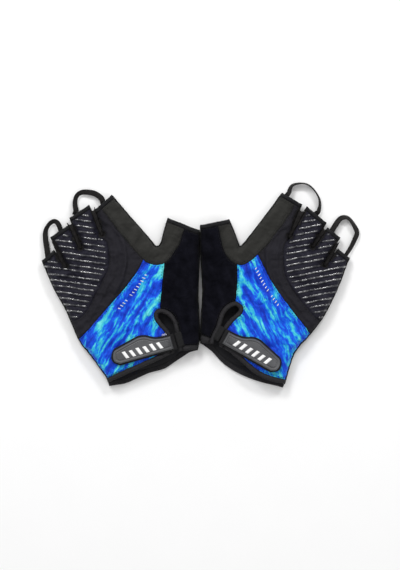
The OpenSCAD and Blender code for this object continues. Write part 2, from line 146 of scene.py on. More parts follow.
class Finish:
    """A material being built: its tree, its object coordinates, and a way to add any node."""

    def __init__(self, name):
        self.material = bpy.data.materials.new(name)
        self.material.use_nodes = True
        self.tree = self.material.node_tree
        self.shader = self.tree.nodes["Principled BSDF"]
        self.place = self.node("ShaderNodeTexCoord", output="Object")

    def node(self, kind, settings=None, output=0, **inputs):
        made = self.tree.nodes.new(kind)
        for key, value in (settings or {}).items():
            setattr(made, key, value)
        for key, value in inputs.items():
            plug(self.tree, made.inputs[key.replace("_", " ")], value)
        return Sock(self.tree, made.outputs[output])

    def axes(self, turn=0.0):
        """x, y and z of the point in millimetres, after a turn about the upright axis."""
        moved = self.node("ShaderNodeMapping", Vector=self.place, Rotation=(0, 0, math.radians(turn)),
                          Scale=(1000, 1000, 1000))
        split = self.tree.nodes.new("ShaderNodeSeparateXYZ")
        self.tree.links.new(moved.out, split.inputs[0])
        return [Sock(self.tree, out) for out in split.outputs]

    def noise(self, size_mm, detail=2.0, stretch=(1, 1, 1), turn=0.0, rough=0.5):
        """Grey noise with blobs about size_mm across, stretched along x, y, z."""
        scale = [1000 / size_mm / s for s in stretch]
        moved = self.node("ShaderNodeMapping", Vector=self.place, Rotation=(0, 0, math.radians(turn)))
        scaled = self.node("ShaderNodeMapping", Vector=moved, Scale=scale)
        return self.node("ShaderNodeTexNoise", Vector=scaled, Scale=1.0, Detail=detail, Roughness=rough)

    def mix(self, factor, low, high):
        """Blend two colours."""
        made = self.tree.nodes.new("ShaderNodeMix")
        made.data_type = "RGBA"
        plug(self.tree, made.inputs[0], factor)
        plug(self.tree, made.inputs[6], paint(low))
        plug(self.tree, made.inputs[7], paint(high))
        return Sock(self.tree, made.outputs[2])

    def done(self, colour, rough, height=None, bump_mm=0.1, strength=1.0, **fixed):
        """Feed the shader, with a bump of bump_mm where height goes from 0 to 1."""
        plug(self.tree, self.shader.inputs["Base Color"], paint(colour))
        plug(self.tree, self.shader.inputs["Roughness"], rough)
        if height is not None:
            bump = self.node("ShaderNodeBump", Height=height, Distance=bump_mm * MM, Strength=strength)
            self.tree.links.new(bump.out, self.shader.inputs["Normal"])
        for key, value in fixed.items():
            plug(self.tree, self.shader.inputs[key.replace("_", " ")], value)
        return self.material


def paint(colour):
    """Three numbers become a colour with full alpha."""
    return colour if isinstance(colour, Sock) or len(colour) == 4 else (*colour, 1.0)


TURN = 2 * math.pi


# %% [markdown]
# ## Cloth finishes
# Every cloth is dark, so what tells them apart is texture: a plain weave on the fingers, ribs in the knit,
# loops in the pile, a nap on the suede. Each is a height made from sines or noise in real millimetres, used
# for the bump and, gently, for the colour.

# %% Woven, knitted and brushed cloths
def weave(name, colour, light, pitch, turn=0.0, rough=0.75, bump=0.12, sheen=0.15):
    f = Finish(name)
    x, y, z = f.axes(turn)
    threads = (x * (TURN / pitch)).sin() * ((y + z) * (TURN / pitch)).sin() * 0.5 + 0.5
    wear = f.noise(14, 3.0)
    fleck = f.noise(0.5, 1.0)
    tone = (threads * 0.45 + wear * 0.35 + fleck * 0.35).clip()
    return f.done(f.mix(tone, colour, light), rough, threads + fleck * 0.5, bump, Sheen_Weight=sheen,
                  Sheen_Roughness=0.5, Specular_IOR_Level=0.12)


def rib_knit(name, colour, light, pitch, turn):
    f = Finish(name)
    x, y = f.axes(turn)[:2]
    ribs = (x * (TURN / pitch)).sin() * 0.5 + 0.5
    loops = (y * (TURN / (pitch * 0.8))).sin() * 0.5 + 0.5
    haze = f.noise(9, 3.0)
    tone = (ribs * 0.4 + haze * 0.5 + loops * 0.12).clip()
    return f.done(f.mix(tone, colour, light), 0.7, ribs + loops * 0.35, 0.16, Sheen_Weight=0.02,
                  Sheen_Roughness=0.45, Specular_IOR_Level=0.15)


def nap(name, colour, light, grain=0.55, bump=0.16, sheen=0.35):
    f = Finish(name)
    fine = f.noise(grain, 3.0, rough=0.7)
    brushed = f.noise(7, 3.0, stretch=(1, 2.2, 1), turn=35)
    tone = (fine * 0.5 + brushed.step(0.3, 0.75) * 0.55).clip()
    return f.done(f.mix(tone, colour, light), 0.92, fine, bump, Sheen_Weight=sheen, Sheen_Roughness=0.6,
                  Specular_IOR_Level=0.1)


def pile(name, colour, light):
    f = Finish(name)
    loops = f.node("ShaderNodeTexVoronoi", Vector=f.place, Scale=1000 / 0.9, Randomness=0.85)
    brushed = f.noise(8, 3.0, stretch=(1, 1.7, 1), turn=-20)
    tone = (brushed.step(0.3, 0.8) * 0.8 + (1 - loops) * 0.25 - 0.1).clip()
    return f.done(f.mix(tone, colour, light), 0.95, 1 - loops, 0.28, Sheen_Weight=0.012, Sheen_Roughness=0.5,
                  Specular_IOR_Level=0.05)


def elastic(name, colour, light, pitch=0.8, turn=0.0):
    f = Finish(name)
    x, y = f.axes(turn)[:2]
    rows = (y * (TURN / pitch)).sin() * 0.5 + 0.5
    picks = (x * (TURN / 0.7)).sin() * 0.5 + 0.5
    haze = f.noise(6, 2.0)
    return f.done(f.mix((rows * 0.5 + haze * 0.4).clip(), colour, light), 0.8, rows + picks * 0.5, 0.14,
                  Sheen_Weight=0.02, Sheen_Roughness=0.5, Specular_IOR_Level=0.15)


# %% [markdown]
# ## The printed cloth
# The print looks like brush strokes of blue, cyan and teal laid along the panel. Long stretched noise makes
# the strokes, a second finer one frays their edges, and the two pick the colour from a ramp. The left and
# the right panel run different ways, so the turn is an input.

# %% Brush strokes
PRINT_COLOURS = [(0.0, (0.0, 0.016, 0.36)), (0.3, (0.0, 0.05, 0.62)), (0.46, (0.001, 0.09, 0.78)),
                 (0.56, (0.006, 0.24, 0.8)), (0.64, (0.02, 0.46, 0.74)), (0.74, (0.07, 0.6, 0.66)),
                 (0.9, (0.16, 0.78, 0.8))]


def brushed_print(name, turn):
    f = Finish(name)
    here = f.place
    sway = f.node("ShaderNodeTexNoise", output=1, Vector=here, Scale=42.0, Detail=2.0)
    swung = f.node("ShaderNodeVectorMath", {"operation": "SCALE"}, Vector=sway, Scale=0.009)
    f.place = f.node("ShaderNodeVectorMath", {"operation": "ADD"})
    adder = f.place.out.node
    f.tree.links.new(here.out, adder.inputs[0])
    f.tree.links.new(swung.out, adder.inputs[1])
    patches = f.noise(9.0, 3.0, stretch=(3.4, 0.85, 1), turn=turn, rough=0.55)
    strokes = f.noise(3.4, 4.0, stretch=(5.5, 0.8, 1), turn=turn + 5, rough=0.6)
    hairs = f.noise(1.3, 3.0, stretch=(8, 0.8, 1), turn=turn - 4, rough=0.6)
    f.place = here
    tone = ((patches - 0.5) * 1.75 + (strokes - 0.5) * 1.15 + (hairs - 0.5) * 0.55 + 0.47).clip()
    ramp = f.tree.nodes.new("ShaderNodeValToRGB")
    while len(ramp.color_ramp.elements) < len(PRINT_COLOURS):
        ramp.color_ramp.elements.new(0.5)
    for element, (where, colour) in zip(ramp.color_ramp.elements, PRINT_COLOURS):
        element.position = where
        element.color = paint(colour)
    f.tree.links.new(tone.out, ramp.inputs[0])
    x, y = f.axes(turn)[:2]
    knit_rows = (x * (TURN / 0.62)).sin() * (y * (TURN / 0.62)).sin() * 0.5 + 0.5
    shade = f.mix(knit_rows * 0.16, Sock(f.tree, ramp.outputs[0]), (0.0, 0.02, 0.12))
    return f.done(shade, 0.55, knit_rows, 0.08, Sheen_Weight=0.02, Specular_IOR_Level=0.2)


# %% Rubber, silicone and thread
def silicone(name):
    """Clear skin over a dark rib. Dust dulls it in patches, so the shine breaks up."""
    f = Finish(name)
    dust = f.noise(1.5, 3.0)
    patches = f.noise(5, 2.0).step(0.36, 0.56)
    return f.done(f.mix(dust.step(0.45, 0.8), (0.006, 0.006, 0.011), (0.03, 0.03, 0.042)),
                  0.5 - patches * 0.3, f.noise(3.2, 2.0), 0.5, Coat_Weight=patches, Coat_Roughness=0.14,
                  Coat_IOR=2.5)


def moulded(name, colour, light, rough=0.42):
    f = Finish(name)
    pebble = f.noise(0.45, 2.0)
    # Broad cloud patches mix the colour with the lighter colour. On the tab rubber the two greys span its sheen,
    # so there the patches are painted sheen; on the other finishes they are plain tone.
    cloud = f.noise(16, 2.0)
    return f.done(f.mix(cloud.step(0.3, 0.75), colour, light), pebble * 0.12 + rough, pebble, 0.05)


def thread(name, colour, light):
    f = Finish(name)
    twist = f.noise(0.35, 1.0)
    return f.done(f.mix(twist, colour, light), 0.7, twist, 0.05, Specular_IOR_Level=0.2)


LOOKS = {
    "navy_cloth": weave("navy_cloth", (0.0075, 0.007, 0.013), (0.017, 0.0165, 0.028), 0.55, 20, 0.5, 0.1, 0.01),
    "knit": rib_knit("knit", (0.0055, 0.005, 0.007), (0.021, 0.02, 0.027), 0.95, 40),
    "pile_cloth": pile("pile_cloth", (0.0015, 0.0015, 0.003), (0.0085, 0.0085, 0.014)),
    "band_suede": nap("band_suede", (0.016, 0.016, 0.0145), (0.036, 0.0355, 0.033), 0.55, 0.16, 0.02),
    "gusset_mesh": weave("gusset_mesh", (0.007, 0.0065, 0.0065), (0.024, 0.022, 0.022), 0.8, 45, 0.9, 0.2, 0.02),
    "hem_cloth": weave("hem_cloth", (0.005, 0.005, 0.006), (0.018, 0.018, 0.02), 0.6, 10, 0.8, 0.12, 0.02),
    "binding": elastic("binding", (0.008, 0.008, 0.009), (0.042, 0.04, 0.044)),
    "silicone": silicone("silicone"),
    "strap_web": elastic("strap_web", (0.005, 0.005, 0.0055), (0.02, 0.02, 0.021), 1.1, 20),
    "loop_tape": pile("loop_tape", (0.003, 0.003, 0.003), (0.018, 0.018, 0.018)),
    # The tab rubber's darker and lighter greys are painted sheen, laid on in broad patches.
    "tab_rubber": moulded("tab_rubber", (0.048, 0.049, 0.053), (0.098, 0.1, 0.107)),
    "bar_print": moulded("bar_print", (0.84, 0.84, 0.84), (0.93, 0.93, 0.93), 0.45),
    "hook_tape": moulded("hook_tape", (0.006, 0.006, 0.006), (0.02, 0.02, 0.02), 0.5),
    "ribbon": elastic("ribbon", (0.006, 0.0055, 0.0055), (0.028, 0.026, 0.026), 0.7, 30),
    "palm_suede": nap("palm_suede", (0.02, 0.02, 0.02), (0.05, 0.049, 0.047), 0.6, 0.2, 0.02),
    "palm_cloth": weave("palm_cloth", (0.005, 0.005, 0.007), (0.02, 0.02, 0.025), 0.7, 0, 0.8, 0.12, 0.02),
    "lining": weave("lining", (0.006, 0.006, 0.007), (0.024, 0.024, 0.027), 1.0, 15, 0.85, 0.15, 0.02),
    "foam": nap("foam", (0.03, 0.03, 0.032), (0.09, 0.09, 0.095), 0.8, 0.16, 0.02),
    "black_thread": thread("black_thread", (0.0035, 0.0035, 0.0035), (0.012, 0.012, 0.012)),
    "grey_thread": thread("grey_thread", (0.014, 0.014, 0.015), (0.05, 0.05, 0.05)),
    "white_ink": moulded("white_ink", (0.62, 0.66, 0.72), (0.85, 0.87, 0.9), 0.5),
}
PRINTS = {"left": brushed_print("print_left", -62), "right": brushed_print("print_right", 64)}
print(len(LOOKS), "finishes")

# %% [markdown]
# ## Reading outlines from the solids
# The upper faces of a solid, cut loose from its walls, are the flat pattern of that panel. Their free edges,
# chained end to end, are its outline. Points a few thousandths of a millimetre apart count as one.

# %% Flat patterns
SNAP = 5e-6


def triangles(name):
    mesh = NODES[name].data
    mesh.calc_loop_triangles()
    points = np.array([v.co for v in mesh.vertices])
    return points[np.array([t.vertices for t in mesh.loop_triangles])]


def upper_faces(name, low, high=1.0):
    """Triangles of a node that face up, with their corners between two heights."""
    tris = triangles(name)
    normal = np.cross(tris[:, 1] - tris[:, 0], tris[:, 2] - tris[:, 0])
    up = normal[:, 2] > 0.9 * np.linalg.norm(normal, axis=1)
    return tris[up & (tris[:, :, 2].min(1) > low) & (tris[:, :, 2].max(1) < high)]


def tree_of(points):
    """A search tree of 2D or 3D points, which gives the distance to the nearest one."""
    tree = KDTree(len(points))
    for i, p in enumerate(points):
        tree.insert((p[0], p[1], p[2] if len(p) > 2 else 0.0), i)
    tree.balance()
    return tree


def distance(tree, points):
    return np.array([tree.find((p[0], p[1], p[2] if len(p) > 2 else 0.0))[2] for p in points])


def same_points(points):
    """A number for each point, the same for points closer than SNAP."""
    tree = tree_of(points)
    number = [-1] * len(points)
    for i, p in enumerate(points):
        if number[i] < 0:
            for _, j, _ in tree.find_range((p[0], p[1], 0.0), SNAP):
                if number[j] < 0:
                    number[j] = i
    return number


def outlines(tris):
    """Closed loops of 2D points round a patch of triangles. A loop that touches itself is cut in two."""
    flat = tris[:, :, :2].reshape(-1, 2)
    number = np.array(same_points(flat)).reshape(-1, 3)
    uses = {}
    for t in number:
        for a, b in ((t[0], t[1]), (t[1], t[2]), (t[2], t[0])):
            uses[(a, b)] = uses.get((a, b), 0) + 1
            uses[(b, a)] = uses.get((b, a), 0) - 1
    follow = {}
    for (a, b), count in sorted(uses.items()):
        follow.setdefault(a, []).extend([b] * max(count, 0))
    loops = []
    for start in follow:
        walk = [start]
        while follow[walk[-1]]:
            after = follow[walk[-1]].pop()
            if after in walk:
                cut = walk.index(after)
                loops.append(flat[walk[cut:]])
                walk = walk[:cut]
            walk.append(after)
    return [loop for loop in loops if len(loop) > 2 and area_of(loop) > 0.2 * MM * MM]


def area_of(loop):
    """Signed area, positive when the loop runs anticlockwise."""
    x, y = loop[:, 0], loop[:, 1]
    return float((x * np.roll(y, -1) - np.roll(x, -1) * y).sum() / 2)


def in_loop(points, loop):
    """Which of the points are inside a closed loop."""
    x, y = points[:, 0], points[:, 1]
    inside = np.zeros(len(points), bool)
    for (x1, y1), (x2, y2) in zip(loop, np.roll(loop, -1, 0)):
        if y1 != y2:
            crosses = (y1 > y) != (y2 > y)
            inside ^= crosses & (x < (x2 - x1) * (y - y1) / (y2 - y1) + x1)
    return inside


def finer(loop, step, closed=True):
    """The same line with no stretch longer than step."""
    ends = np.roll(loop, -1, 0) if closed else loop[1:]
    out = []
    for a, b in zip(loop, ends):
        count = max(1, math.ceil(np.linalg.norm(b - a) / step - 0.01))
        out += [a + (b - a) * k / count for k in range(count)]
    if not closed:
        out.append(loop[-1])
    return np.array(out)


# %% A net of triangles over several outlines
NET = 1.25 * MM


def net(patterns, step=NET, lines=(), seed=3):
    """Fill named outlines with one net. Returns points, triangles and the name of each triangle."""
    points, edges, faces, names = [], [], [], []
    for name, loop in patterns:
        fine = finer(loop, step)
        first = len(points)
        points += list(fine)
        count = len(fine)
        edges += [(first + i, first + (i + 1) % count) for i in range(count)]
        faces.append(list(range(first, first + count)))
        names.append(name)
    for line in lines:
        fine = finer(line, step, closed=False)
        first = len(points)
        points += list(fine)
        edges += [(first + i, first + i + 1) for i in range(len(fine) - 1)]
    border = np.array(points)
    low, high = border.min(0), border.max(0)
    rng = np.random.default_rng(seed)
    rows = np.arange(low[1], high[1], step * 0.87)
    grid = np.array([(x + (r % 2) * step / 2, y) for r, y in enumerate(rows)
                     for x in np.arange(low[0], high[0], step)])
    grid += rng.uniform(-0.12, 0.12, grid.shape) * step
    inside = np.zeros(len(grid), bool)
    for _, loop in patterns:
        inside |= in_loop(grid, loop)
    grid = grid[inside]
    grid = grid[distance(tree_of(border), grid) > 0.62 * step]
    everything = [Vector(p) for p in border] + [Vector(p) for p in grid]
    made = delaunay_2d_cdt(everything, edges, faces, 1, 1e-6, True)
    corners = np.array(made[0])
    kept = [(t, names[o[0]]) for t, o in zip(made[2], made[5]) if len(t) == 3 and o]
    return corners, np.array([t for t, _ in kept]), np.array([owner for _, owner in kept], dtype=object)


def rim_edges(tris):
    """Directed edges that only one triangle uses."""
    used = {(t[i], t[(i + 1) % 3]) for t in tris for i in range(3)}
    return [(a, b) for a, b in used if (b, a) not in used]


# %% [markdown]
# ## The back and palm of a glove
# Both sides are one net each. The wall of the solid tells which parts of the outline are closed edges, where
# back meets palm, and which are open mouths. Near a closed edge the back curves down and the palm curves up
# to a common height; at a mouth they stay apart. The finger gussets are a strip along the slots.

# %% Panel names and heights
BACK = ["finger_panel", "knit_panel", "print_panel", "thumb_panel", "web_band", "cuff_binding", "slit_binding",
        "hem_thumb", "hem_index", "hem_middle", "hem_ring", "hem_little"]
GUSSETS = ["gusset_index_middle", "gusset_middle_ring", "gusset_ring_little"]
SEAM_HEIGHT = 4.6 * MM
ROLL = 7.5 * MM
GUSSET_SHOWN = 1.7 * MM
PALM_OUTSIDE = 1.0 * MM
INSIDE_LEVEL = 7 * MM


def puff(d, roll):
    """0 at a closed edge, 1 from the roll distance on, round in between."""
    t = np.clip(d / roll, 0, 1)
    return np.sqrt(1 - (1 - t) ** 2)


def closed_edges(side, corners, tris, level):
    """Rim edges that a wall of the solid stands on, and those that are open."""
    solids = [triangles(f"{side}_{n}") for n in BACK + GUSSETS]
    every = np.concatenate(solids)
    bvh = BVHTree.FromPolygons([tuple(p) for p in every.reshape(-1, 3)],
                               [(3 * i, 3 * i + 1, 3 * i + 2) for i in range(len(every))])
    walls, mouths = [], []
    for a, b in rim_edges(tris):
        p, q = corners[a], corners[b]
        along = (q - p) / max(np.linalg.norm(q - p), 1e-9)
        out = np.array([along[1], -along[0]])
        start = (p + q) / 2 + out * 0.3 * MM
        hit = bvh.ray_cast(Vector((*start, level)), Vector((-out[0], -out[1], 0)), 0.7 * MM)
        (walls if hit[0] is not None else mouths).append((a, b))
    return walls, mouths


def samples(corners, edges, step=0.3 * MM):
    out = []
    for a, b in edges:
        p, q = corners[a], corners[b]
        n = max(1, int(np.linalg.norm(q - p) / step))
        out += [p + (q - p) * k / n for k in range(n + 1)]
    return out


def height_of_solids(side, corners):
    """Height of the top of the solids under each 2D point."""
    tops = np.concatenate([upper_faces(f"{side}_{n}", INSIDE_LEVEL) for n in BACK])
    bvh = BVHTree.FromPolygons([tuple(p) for p in tops.reshape(-1, 3)],
                               [(3 * i, 3 * i + 1, 3 * i + 2) for i in range(len(tops))])
    heights = np.zeros(len(corners))
    for i, (x, y) in enumerate(corners):
        hit = bvh.ray_cast(Vector((x, y, 0.05)), Vector((0, 0, -1)))
        if hit[0] is None:
            hit = bvh.find_nearest(Vector((x, y, 0.012)))
        heights[i] = hit[0].z
    return heights


# %% [markdown]
# ## Wrinkles from a cloth simulation
# Cloth that is a little larger than the frame it is sewn to buckles into soft folds. So the back is grown
# by a few hundredths while its seams are held, and the simulation finds the folds. It is run at ten times
# life size, where the solver is steady, for a few frames, and no point may move further than a cap.

# %% Growing a sheet between its seams
def wrinkle(corners, tris, pins, grow, cap, frames=16, scale=10.0, seed_height=None):
    mesh = bpy.data.meshes.new("wrinkle")
    start = corners * scale
    if seed_height is not None:
        start = start + np.array([0, 0, 1.0]) * seed_height[:, None] * scale
    mesh.from_pydata([tuple(p) for p in start], [], [tuple(int(i) for i in t) for t in tris])
    piece = bpy.data.objects.new("wrinkle", mesh)
    scene.collection.objects.link(piece)
    group = piece.vertex_groups.new(name="held")
    for i, weight in enumerate(pins):
        if weight > 0.01:
            group.add([i], float(weight), "REPLACE")
    cloth = piece.modifiers.new("cloth", "CLOTH")
    setting = cloth.settings
    setting.quality = 5
    setting.mass = 0.15
    setting.tension_stiffness = 12
    setting.compression_stiffness = 12
    setting.shear_stiffness = 6
    setting.bending_stiffness = 0.35
    setting.air_damping = 3
    setting.vertex_group_mass = "held"
    setting.pin_stiffness = 1.0
    setting.shrink_min = -grow
    setting.effector_weights.gravity = 0.0
    cloth.collision_settings.use_collision = False
    cloth.collision_settings.use_self_collision = False
    cloth.point_cache.frame_start = 1
    cloth.point_cache.frame_end = frames
    for f in range(1, frames + 1):
        scene.frame_set(f)
    shaped = piece.evaluated_get(bpy.context.evaluated_depsgraph_get()).data
    moved = np.array([v.co for v in shaped.vertices]) / scale
    scene.frame_set(1)
    bpy.data.objects.remove(piece)
    shift = moved - corners
    size = np.linalg.norm(shift, axis=1)
    shift *= (np.minimum(size, cap) / np.maximum(size, 1e-9))[:, None]
    print("folds move points by up to", round(float(size.max()) / MM, 2), "mm, capped at", cap / MM)
    return corners + shift


def vertex_normals(points, tris):
    face = np.cross(points[tris[:, 1]] - points[tris[:, 0]], points[tris[:, 2]] - points[tris[:, 0]])
    out = np.zeros_like(points)
    for i in range(3):
        np.add.at(out, tris[:, i], face)
    return out / np.maximum(np.linalg.norm(out, axis=1), 1e-12)[:, None]


def smooth(points, tris, rounds, held=None, amount=0.5):
    """Average each point with its neighbours, in place order, a few times."""
    pairs = np.concatenate([tris[:, [0, 1]], tris[:, [1, 2]], tris[:, [2, 0]]])
    pairs = np.concatenate([pairs, pairs[:, ::-1]])
    count = np.zeros(len(points))
    np.add.at(count, pairs[:, 0], 1)
    for _ in range(rounds):
        total = np.zeros_like(points)
        np.add.at(total, pairs[:, 0], points[pairs[:, 1]])
        mean = total / np.maximum(count, 1)[:, None]
        step = (mean - points) * amount
        if held is not None:
            step[held] = 0
        points = points + step
    return points


# %% Making a piece
made_pieces = {}


def piece(name, points, faces, look, body, slot=None, stands_for=(), thick=0.0, material=None):
    mesh = bpy.data.meshes.new(name)
    mesh.from_pydata([tuple(p) for p in points], [], [tuple(int(i) for i in f) for f in faces])
    mesh.polygons.foreach_set("use_smooth", [True] * len(mesh.polygons))
    mesh.materials.append(material or LOOKS[look])
    made = bpy.data.objects.new(name, mesh)
    scene.collection.objects.link(made)
    if thick:
        shell = made.modifiers.new("thickness", "SOLIDIFY")
        shell.thickness = thick
        shell.offset = -1
        shell.use_even_offset = False
    finish_piece(made, body, stands_for)
    return made


def finish_piece(made, body, stands_for=()):
    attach(made, body)
    if stands_for:
        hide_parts(*stands_for)
    made_pieces[made.name] = made


def cut_size(flat, tris):
    """Width and length of the smallest rectangle a flat pattern fits in, and the pattern's own area."""
    sides = flat[tris]
    one, two = sides[:, 1] - sides[:, 0], sides[:, 2] - sides[:, 0]
    area = np.abs(one[:, 0] * two[:, 1] - one[:, 1] * two[:, 0]).sum() / 2
    boxes = []
    for turn in np.radians(np.arange(0, 180, 1)):
        spans = [np.ptp(flat @ (np.cos(turn + k), np.sin(turn + k))) for k in (0, math.pi / 2)]
        boxes.append((spans[0] * spans[1], min(spans), max(spans)))
    return [round(float(v), 5) for v in min(boxes)[1:]] + [float(area)]


cut_sizes = {}


def declare_cloth(made, flat, tris):
    """Keep and print what a sheet was cut to, from its flat pattern, and whether it is at least 10 mm wide and
    fills at least 0.3 of its box. Strips under 10 mm wide can't be declared.
    """
    width, length, area = cut_size(flat, tris)
    share = area / (width * length)
    told = width >= 10 * MM and share >= 0.3
    cut_sizes[made.name] = (width, length, area, told)
    print("cut", made.name, width, length, "area", round(area, 6), "share", round(share, 2), "told", told)


def part_of(points, tris, keep):
    """The points and triangles of one part of a net, renumbered."""
    used = np.unique(tris[keep])
    number = np.full(len(points), -1)
    number[used] = np.arange(len(used))
    return used, number[tris[keep]]


# %% [markdown]
# ## Seams and stitches with Geometry Nodes
# A stitch line is where the distance to a panel's edge has one value, so it is found by marching over the
# triangles and joining the crossings. A node tree then walks along such lines and sets one small stitch at
# each step, turned along the line. The same tree serves every seam, with the step and size as inputs.

# %% Lines of equal distance on a net
def contour(points, tris, value, level):
    """Points and edges where value crosses level on the triangles."""
    found, edges = {}, []

    def crossing(a, b):
        key = (min(a, b), max(a, b))
        if key not in found:
            t = (level - value[key[0]]) / (value[key[1]] - value[key[0]])
            found[key] = (len(found), points[key[0]] * (1 - t) + points[key[1]] * t)
        return found[key][0]

    for tri in tris:
        above = [value[i] > level for i in tri]
        if any(above) and not all(above):
            ends = [crossing(tri[i], tri[(i + 1) % 3]) for i in range(3) if above[i] != above[(i + 1) % 3]]
            if len(ends) == 2 and ends[0] != ends[1]:
                edges.append(tuple(ends))
    return np.array([p for _, p in found.values()]).reshape(-1, 3), edges


def line_mesh(name, points, edges):
    mesh = bpy.data.meshes.new(name)
    mesh.from_pydata([tuple(p) for p in points], [tuple(e) for e in edges], [])
    made = bpy.data.objects.new(name, mesh)
    scene.collection.objects.link(made)
    return made


# %% The stitch tree
def tree_with(name, inputs):
    """A new Geometry Nodes tree with a geometry input and named number inputs."""
    tree = bpy.data.node_groups.new(name, "GeometryNodeTree")
    tree.interface.new_socket("Geometry", in_out="INPUT", socket_type="NodeSocketGeometry")
    for label, value in inputs:
        socket = tree.interface.new_socket(label, in_out="INPUT", socket_type="NodeSocketFloat")
        socket.default_value = value
    tree.interface.new_socket("Material", in_out="INPUT", socket_type="NodeSocketMaterial")
    tree.interface.new_socket("Geometry", in_out="OUTPUT", socket_type="NodeSocketGeometry")
    return tree, tree.nodes.new("NodeGroupInput"), tree.nodes.new("NodeGroupOutput")


def add_node(tree, kind, settings=None, **inputs):
    made = tree.nodes.new(kind)
    for key, value in (settings or {}).items():
        setattr(made, key, value)
    for key, value in inputs.items():
        socket = made.inputs[key.replace("_", " ")]
        if hasattr(value, "is_linked"):
            tree.links.new(value, socket)
        else:
            socket.default_value = value
    return made


def close_tree(tree, group_in, group_out, geometry):
    real = add_node(tree, "GeometryNodeRealizeInstances", Geometry=geometry)
    shaded = add_node(tree, "GeometryNodeSetMaterial", Geometry=real.outputs[0],
                      Material=group_in.outputs["Material"])
    tree.links.new(shaded.outputs[0], group_out.inputs[0])


def stitch_tree():
    tree, start, end = tree_with("stitches", [("Step", 2.6 * MM), ("Long", 1.7 * MM), ("Thick", 0.42 * MM)])
    curve = add_node(tree, "GeometryNodeMeshToCurve", Mesh=start.outputs["Geometry"])
    walked = add_node(tree, "GeometryNodeCurveToPoints", {"mode": "LENGTH"}, Curve=curve.outputs[0],
                      Length=start.outputs["Step"])
    ball = add_node(tree, "GeometryNodeMeshUVSphere", Segments=6, Rings=4, Radius=0.5)
    size = add_node(tree, "ShaderNodeCombineXYZ", X=start.outputs["Thick"], Y=start.outputs["Thick"],
                    Z=start.outputs["Long"])
    placed = add_node(tree, "GeometryNodeInstanceOnPoints", Points=walked.outputs["Points"],
                      Instance=ball.outputs[0], Rotation=walked.outputs["Rotation"], Scale=size.outputs[0])
    close_tree(tree, start, end, placed.outputs[0])
    return tree


def tube_tree():
    """A rib or cord along a line, flattened by its own Height input and narrowed at both ends."""
    tree, start, end = tree_with("tubes", [("Radius", 0.8 * MM), ("Step", 0.6 * MM)])
    curve = add_node(tree, "GeometryNodeMeshToCurve", Mesh=start.outputs["Geometry"])
    even = add_node(tree, "GeometryNodeResampleCurve", {"mode": "LENGTH"}, Curve=curve.outputs[0],
                    Length=start.outputs["Step"])
    along = add_node(tree, "GeometryNodeSplineParameter")
    span = add_node(tree, "GeometryNodeSplineLength")
    back = add_node(tree, "ShaderNodeMath", {"operation": "SUBTRACT"})
    tree.links.new(span.outputs[0], back.inputs[0])
    tree.links.new(along.outputs["Length"], back.inputs[1])
    nearest = add_node(tree, "ShaderNodeMath", {"operation": "MINIMUM"})
    tree.links.new(along.outputs["Length"], nearest.inputs[0])
    tree.links.new(back.outputs[0], nearest.inputs[1])
    taper = add_node(tree, "ShaderNodeMapRange", Value=nearest.outputs[0], From_Max=1.2 * MM, To_Min=0.35)
    wide = add_node(tree, "ShaderNodeMath", {"operation": "MULTIPLY"})
    tree.links.new(taper.outputs[0], wide.inputs[0])
    tree.links.new(start.outputs["Radius"], wide.inputs[1])
    circle = add_node(tree, "GeometryNodeCurvePrimitiveCircle", Resolution=8)
    circle.inputs["Radius"].default_value = 1.0
    swept = add_node(tree, "GeometryNodeCurveToMesh", Curve=even.outputs[0],
                     Profile_Curve=circle.outputs[0], Fill_Caps=True)
    if "Scale" in swept.inputs:
        tree.links.new(wide.outputs[0], swept.inputs["Scale"])
    else:
        sized = add_node(tree, "GeometryNodeSetCurveRadius", Curve=even.outputs[0], Radius=wide.outputs[0])
        tree.links.new(sized.outputs[0], swept.inputs["Curve"])
    round_off = add_node(tree, "GeometryNodeSetShadeSmooth", Geometry=swept.outputs[0])
    close_tree(tree, start, end, round_off.outputs[0])
    return tree


STITCHES = stitch_tree()
TUBES = tube_tree()


def grown(name, points, edges, tree, look, body, slot, **sizes):
    """Run a node tree on lines and keep the plain mesh that it makes."""
    if not len(edges):
        return None
    lines = line_mesh(name + "_lines", points, edges)
    modifier = lines.modifiers.new("grow", "NODES")
    modifier.node_group = tree
    for item in tree.interface.items_tree:
        if item.in_out == "INPUT" and item.name in sizes:
            modifier[item.identifier] = sizes[item.name]
        if item.in_out == "INPUT" and item.name == "Material":
            modifier[item.identifier] = LOOKS[look]
    graph = bpy.context.evaluated_depsgraph_get()
    mesh = bpy.data.meshes.new_from_object(lines.evaluated_get(graph))
    mesh.name = name
    bpy.data.objects.remove(lines)
    if not len(mesh.polygons):
        return None
    made = bpy.data.objects.new(name, mesh)
    scene.collection.objects.link(made)
    if not mesh.materials:
        mesh.materials.append(LOOKS[look])
    finish_piece(made, body)
    return made


# %% [markdown]
# ## One glove's back, cut into its panels
# Each panel is the share of the wrinkled net that its outline covers. Bindings, hems and the band swell a
# little between their edges, all panels dip into the seams, and the gusset is what lies close to a slot.

# %% Swell and look of each panel
SWELL = {"cuff_binding": (0.9, 2.2), "slit_binding": (0.8, 2.0), "web_band": (0.35, 1.6),
         "hem_thumb": (0.35, 1.6), "hem_index": (0.35, 1.6), "hem_middle": (0.35, 1.6), "hem_ring": (0.35, 1.6),
         "hem_little": (0.35, 1.6), "thumb_panel": (0.5, 1.8)}
PANEL_LOOK = {"finger_panel": "navy_cloth", "knit_panel": "knit", "print_panel": "print_cloth",
              "thumb_panel": "pile_cloth", "web_band": "band_suede", "cuff_binding": "binding",
              "slit_binding": "binding"}
for finger in ("thumb", "index", "middle", "ring", "little"):
    PANEL_LOOK["hem_" + finger] = "hem_cloth"
for gusset in GUSSETS:
    PANEL_LOOK[gusset] = "gusset_mesh"
CLOTH_THICK = 1.0 * MM
BACK_HIGH = 12.5 * MM


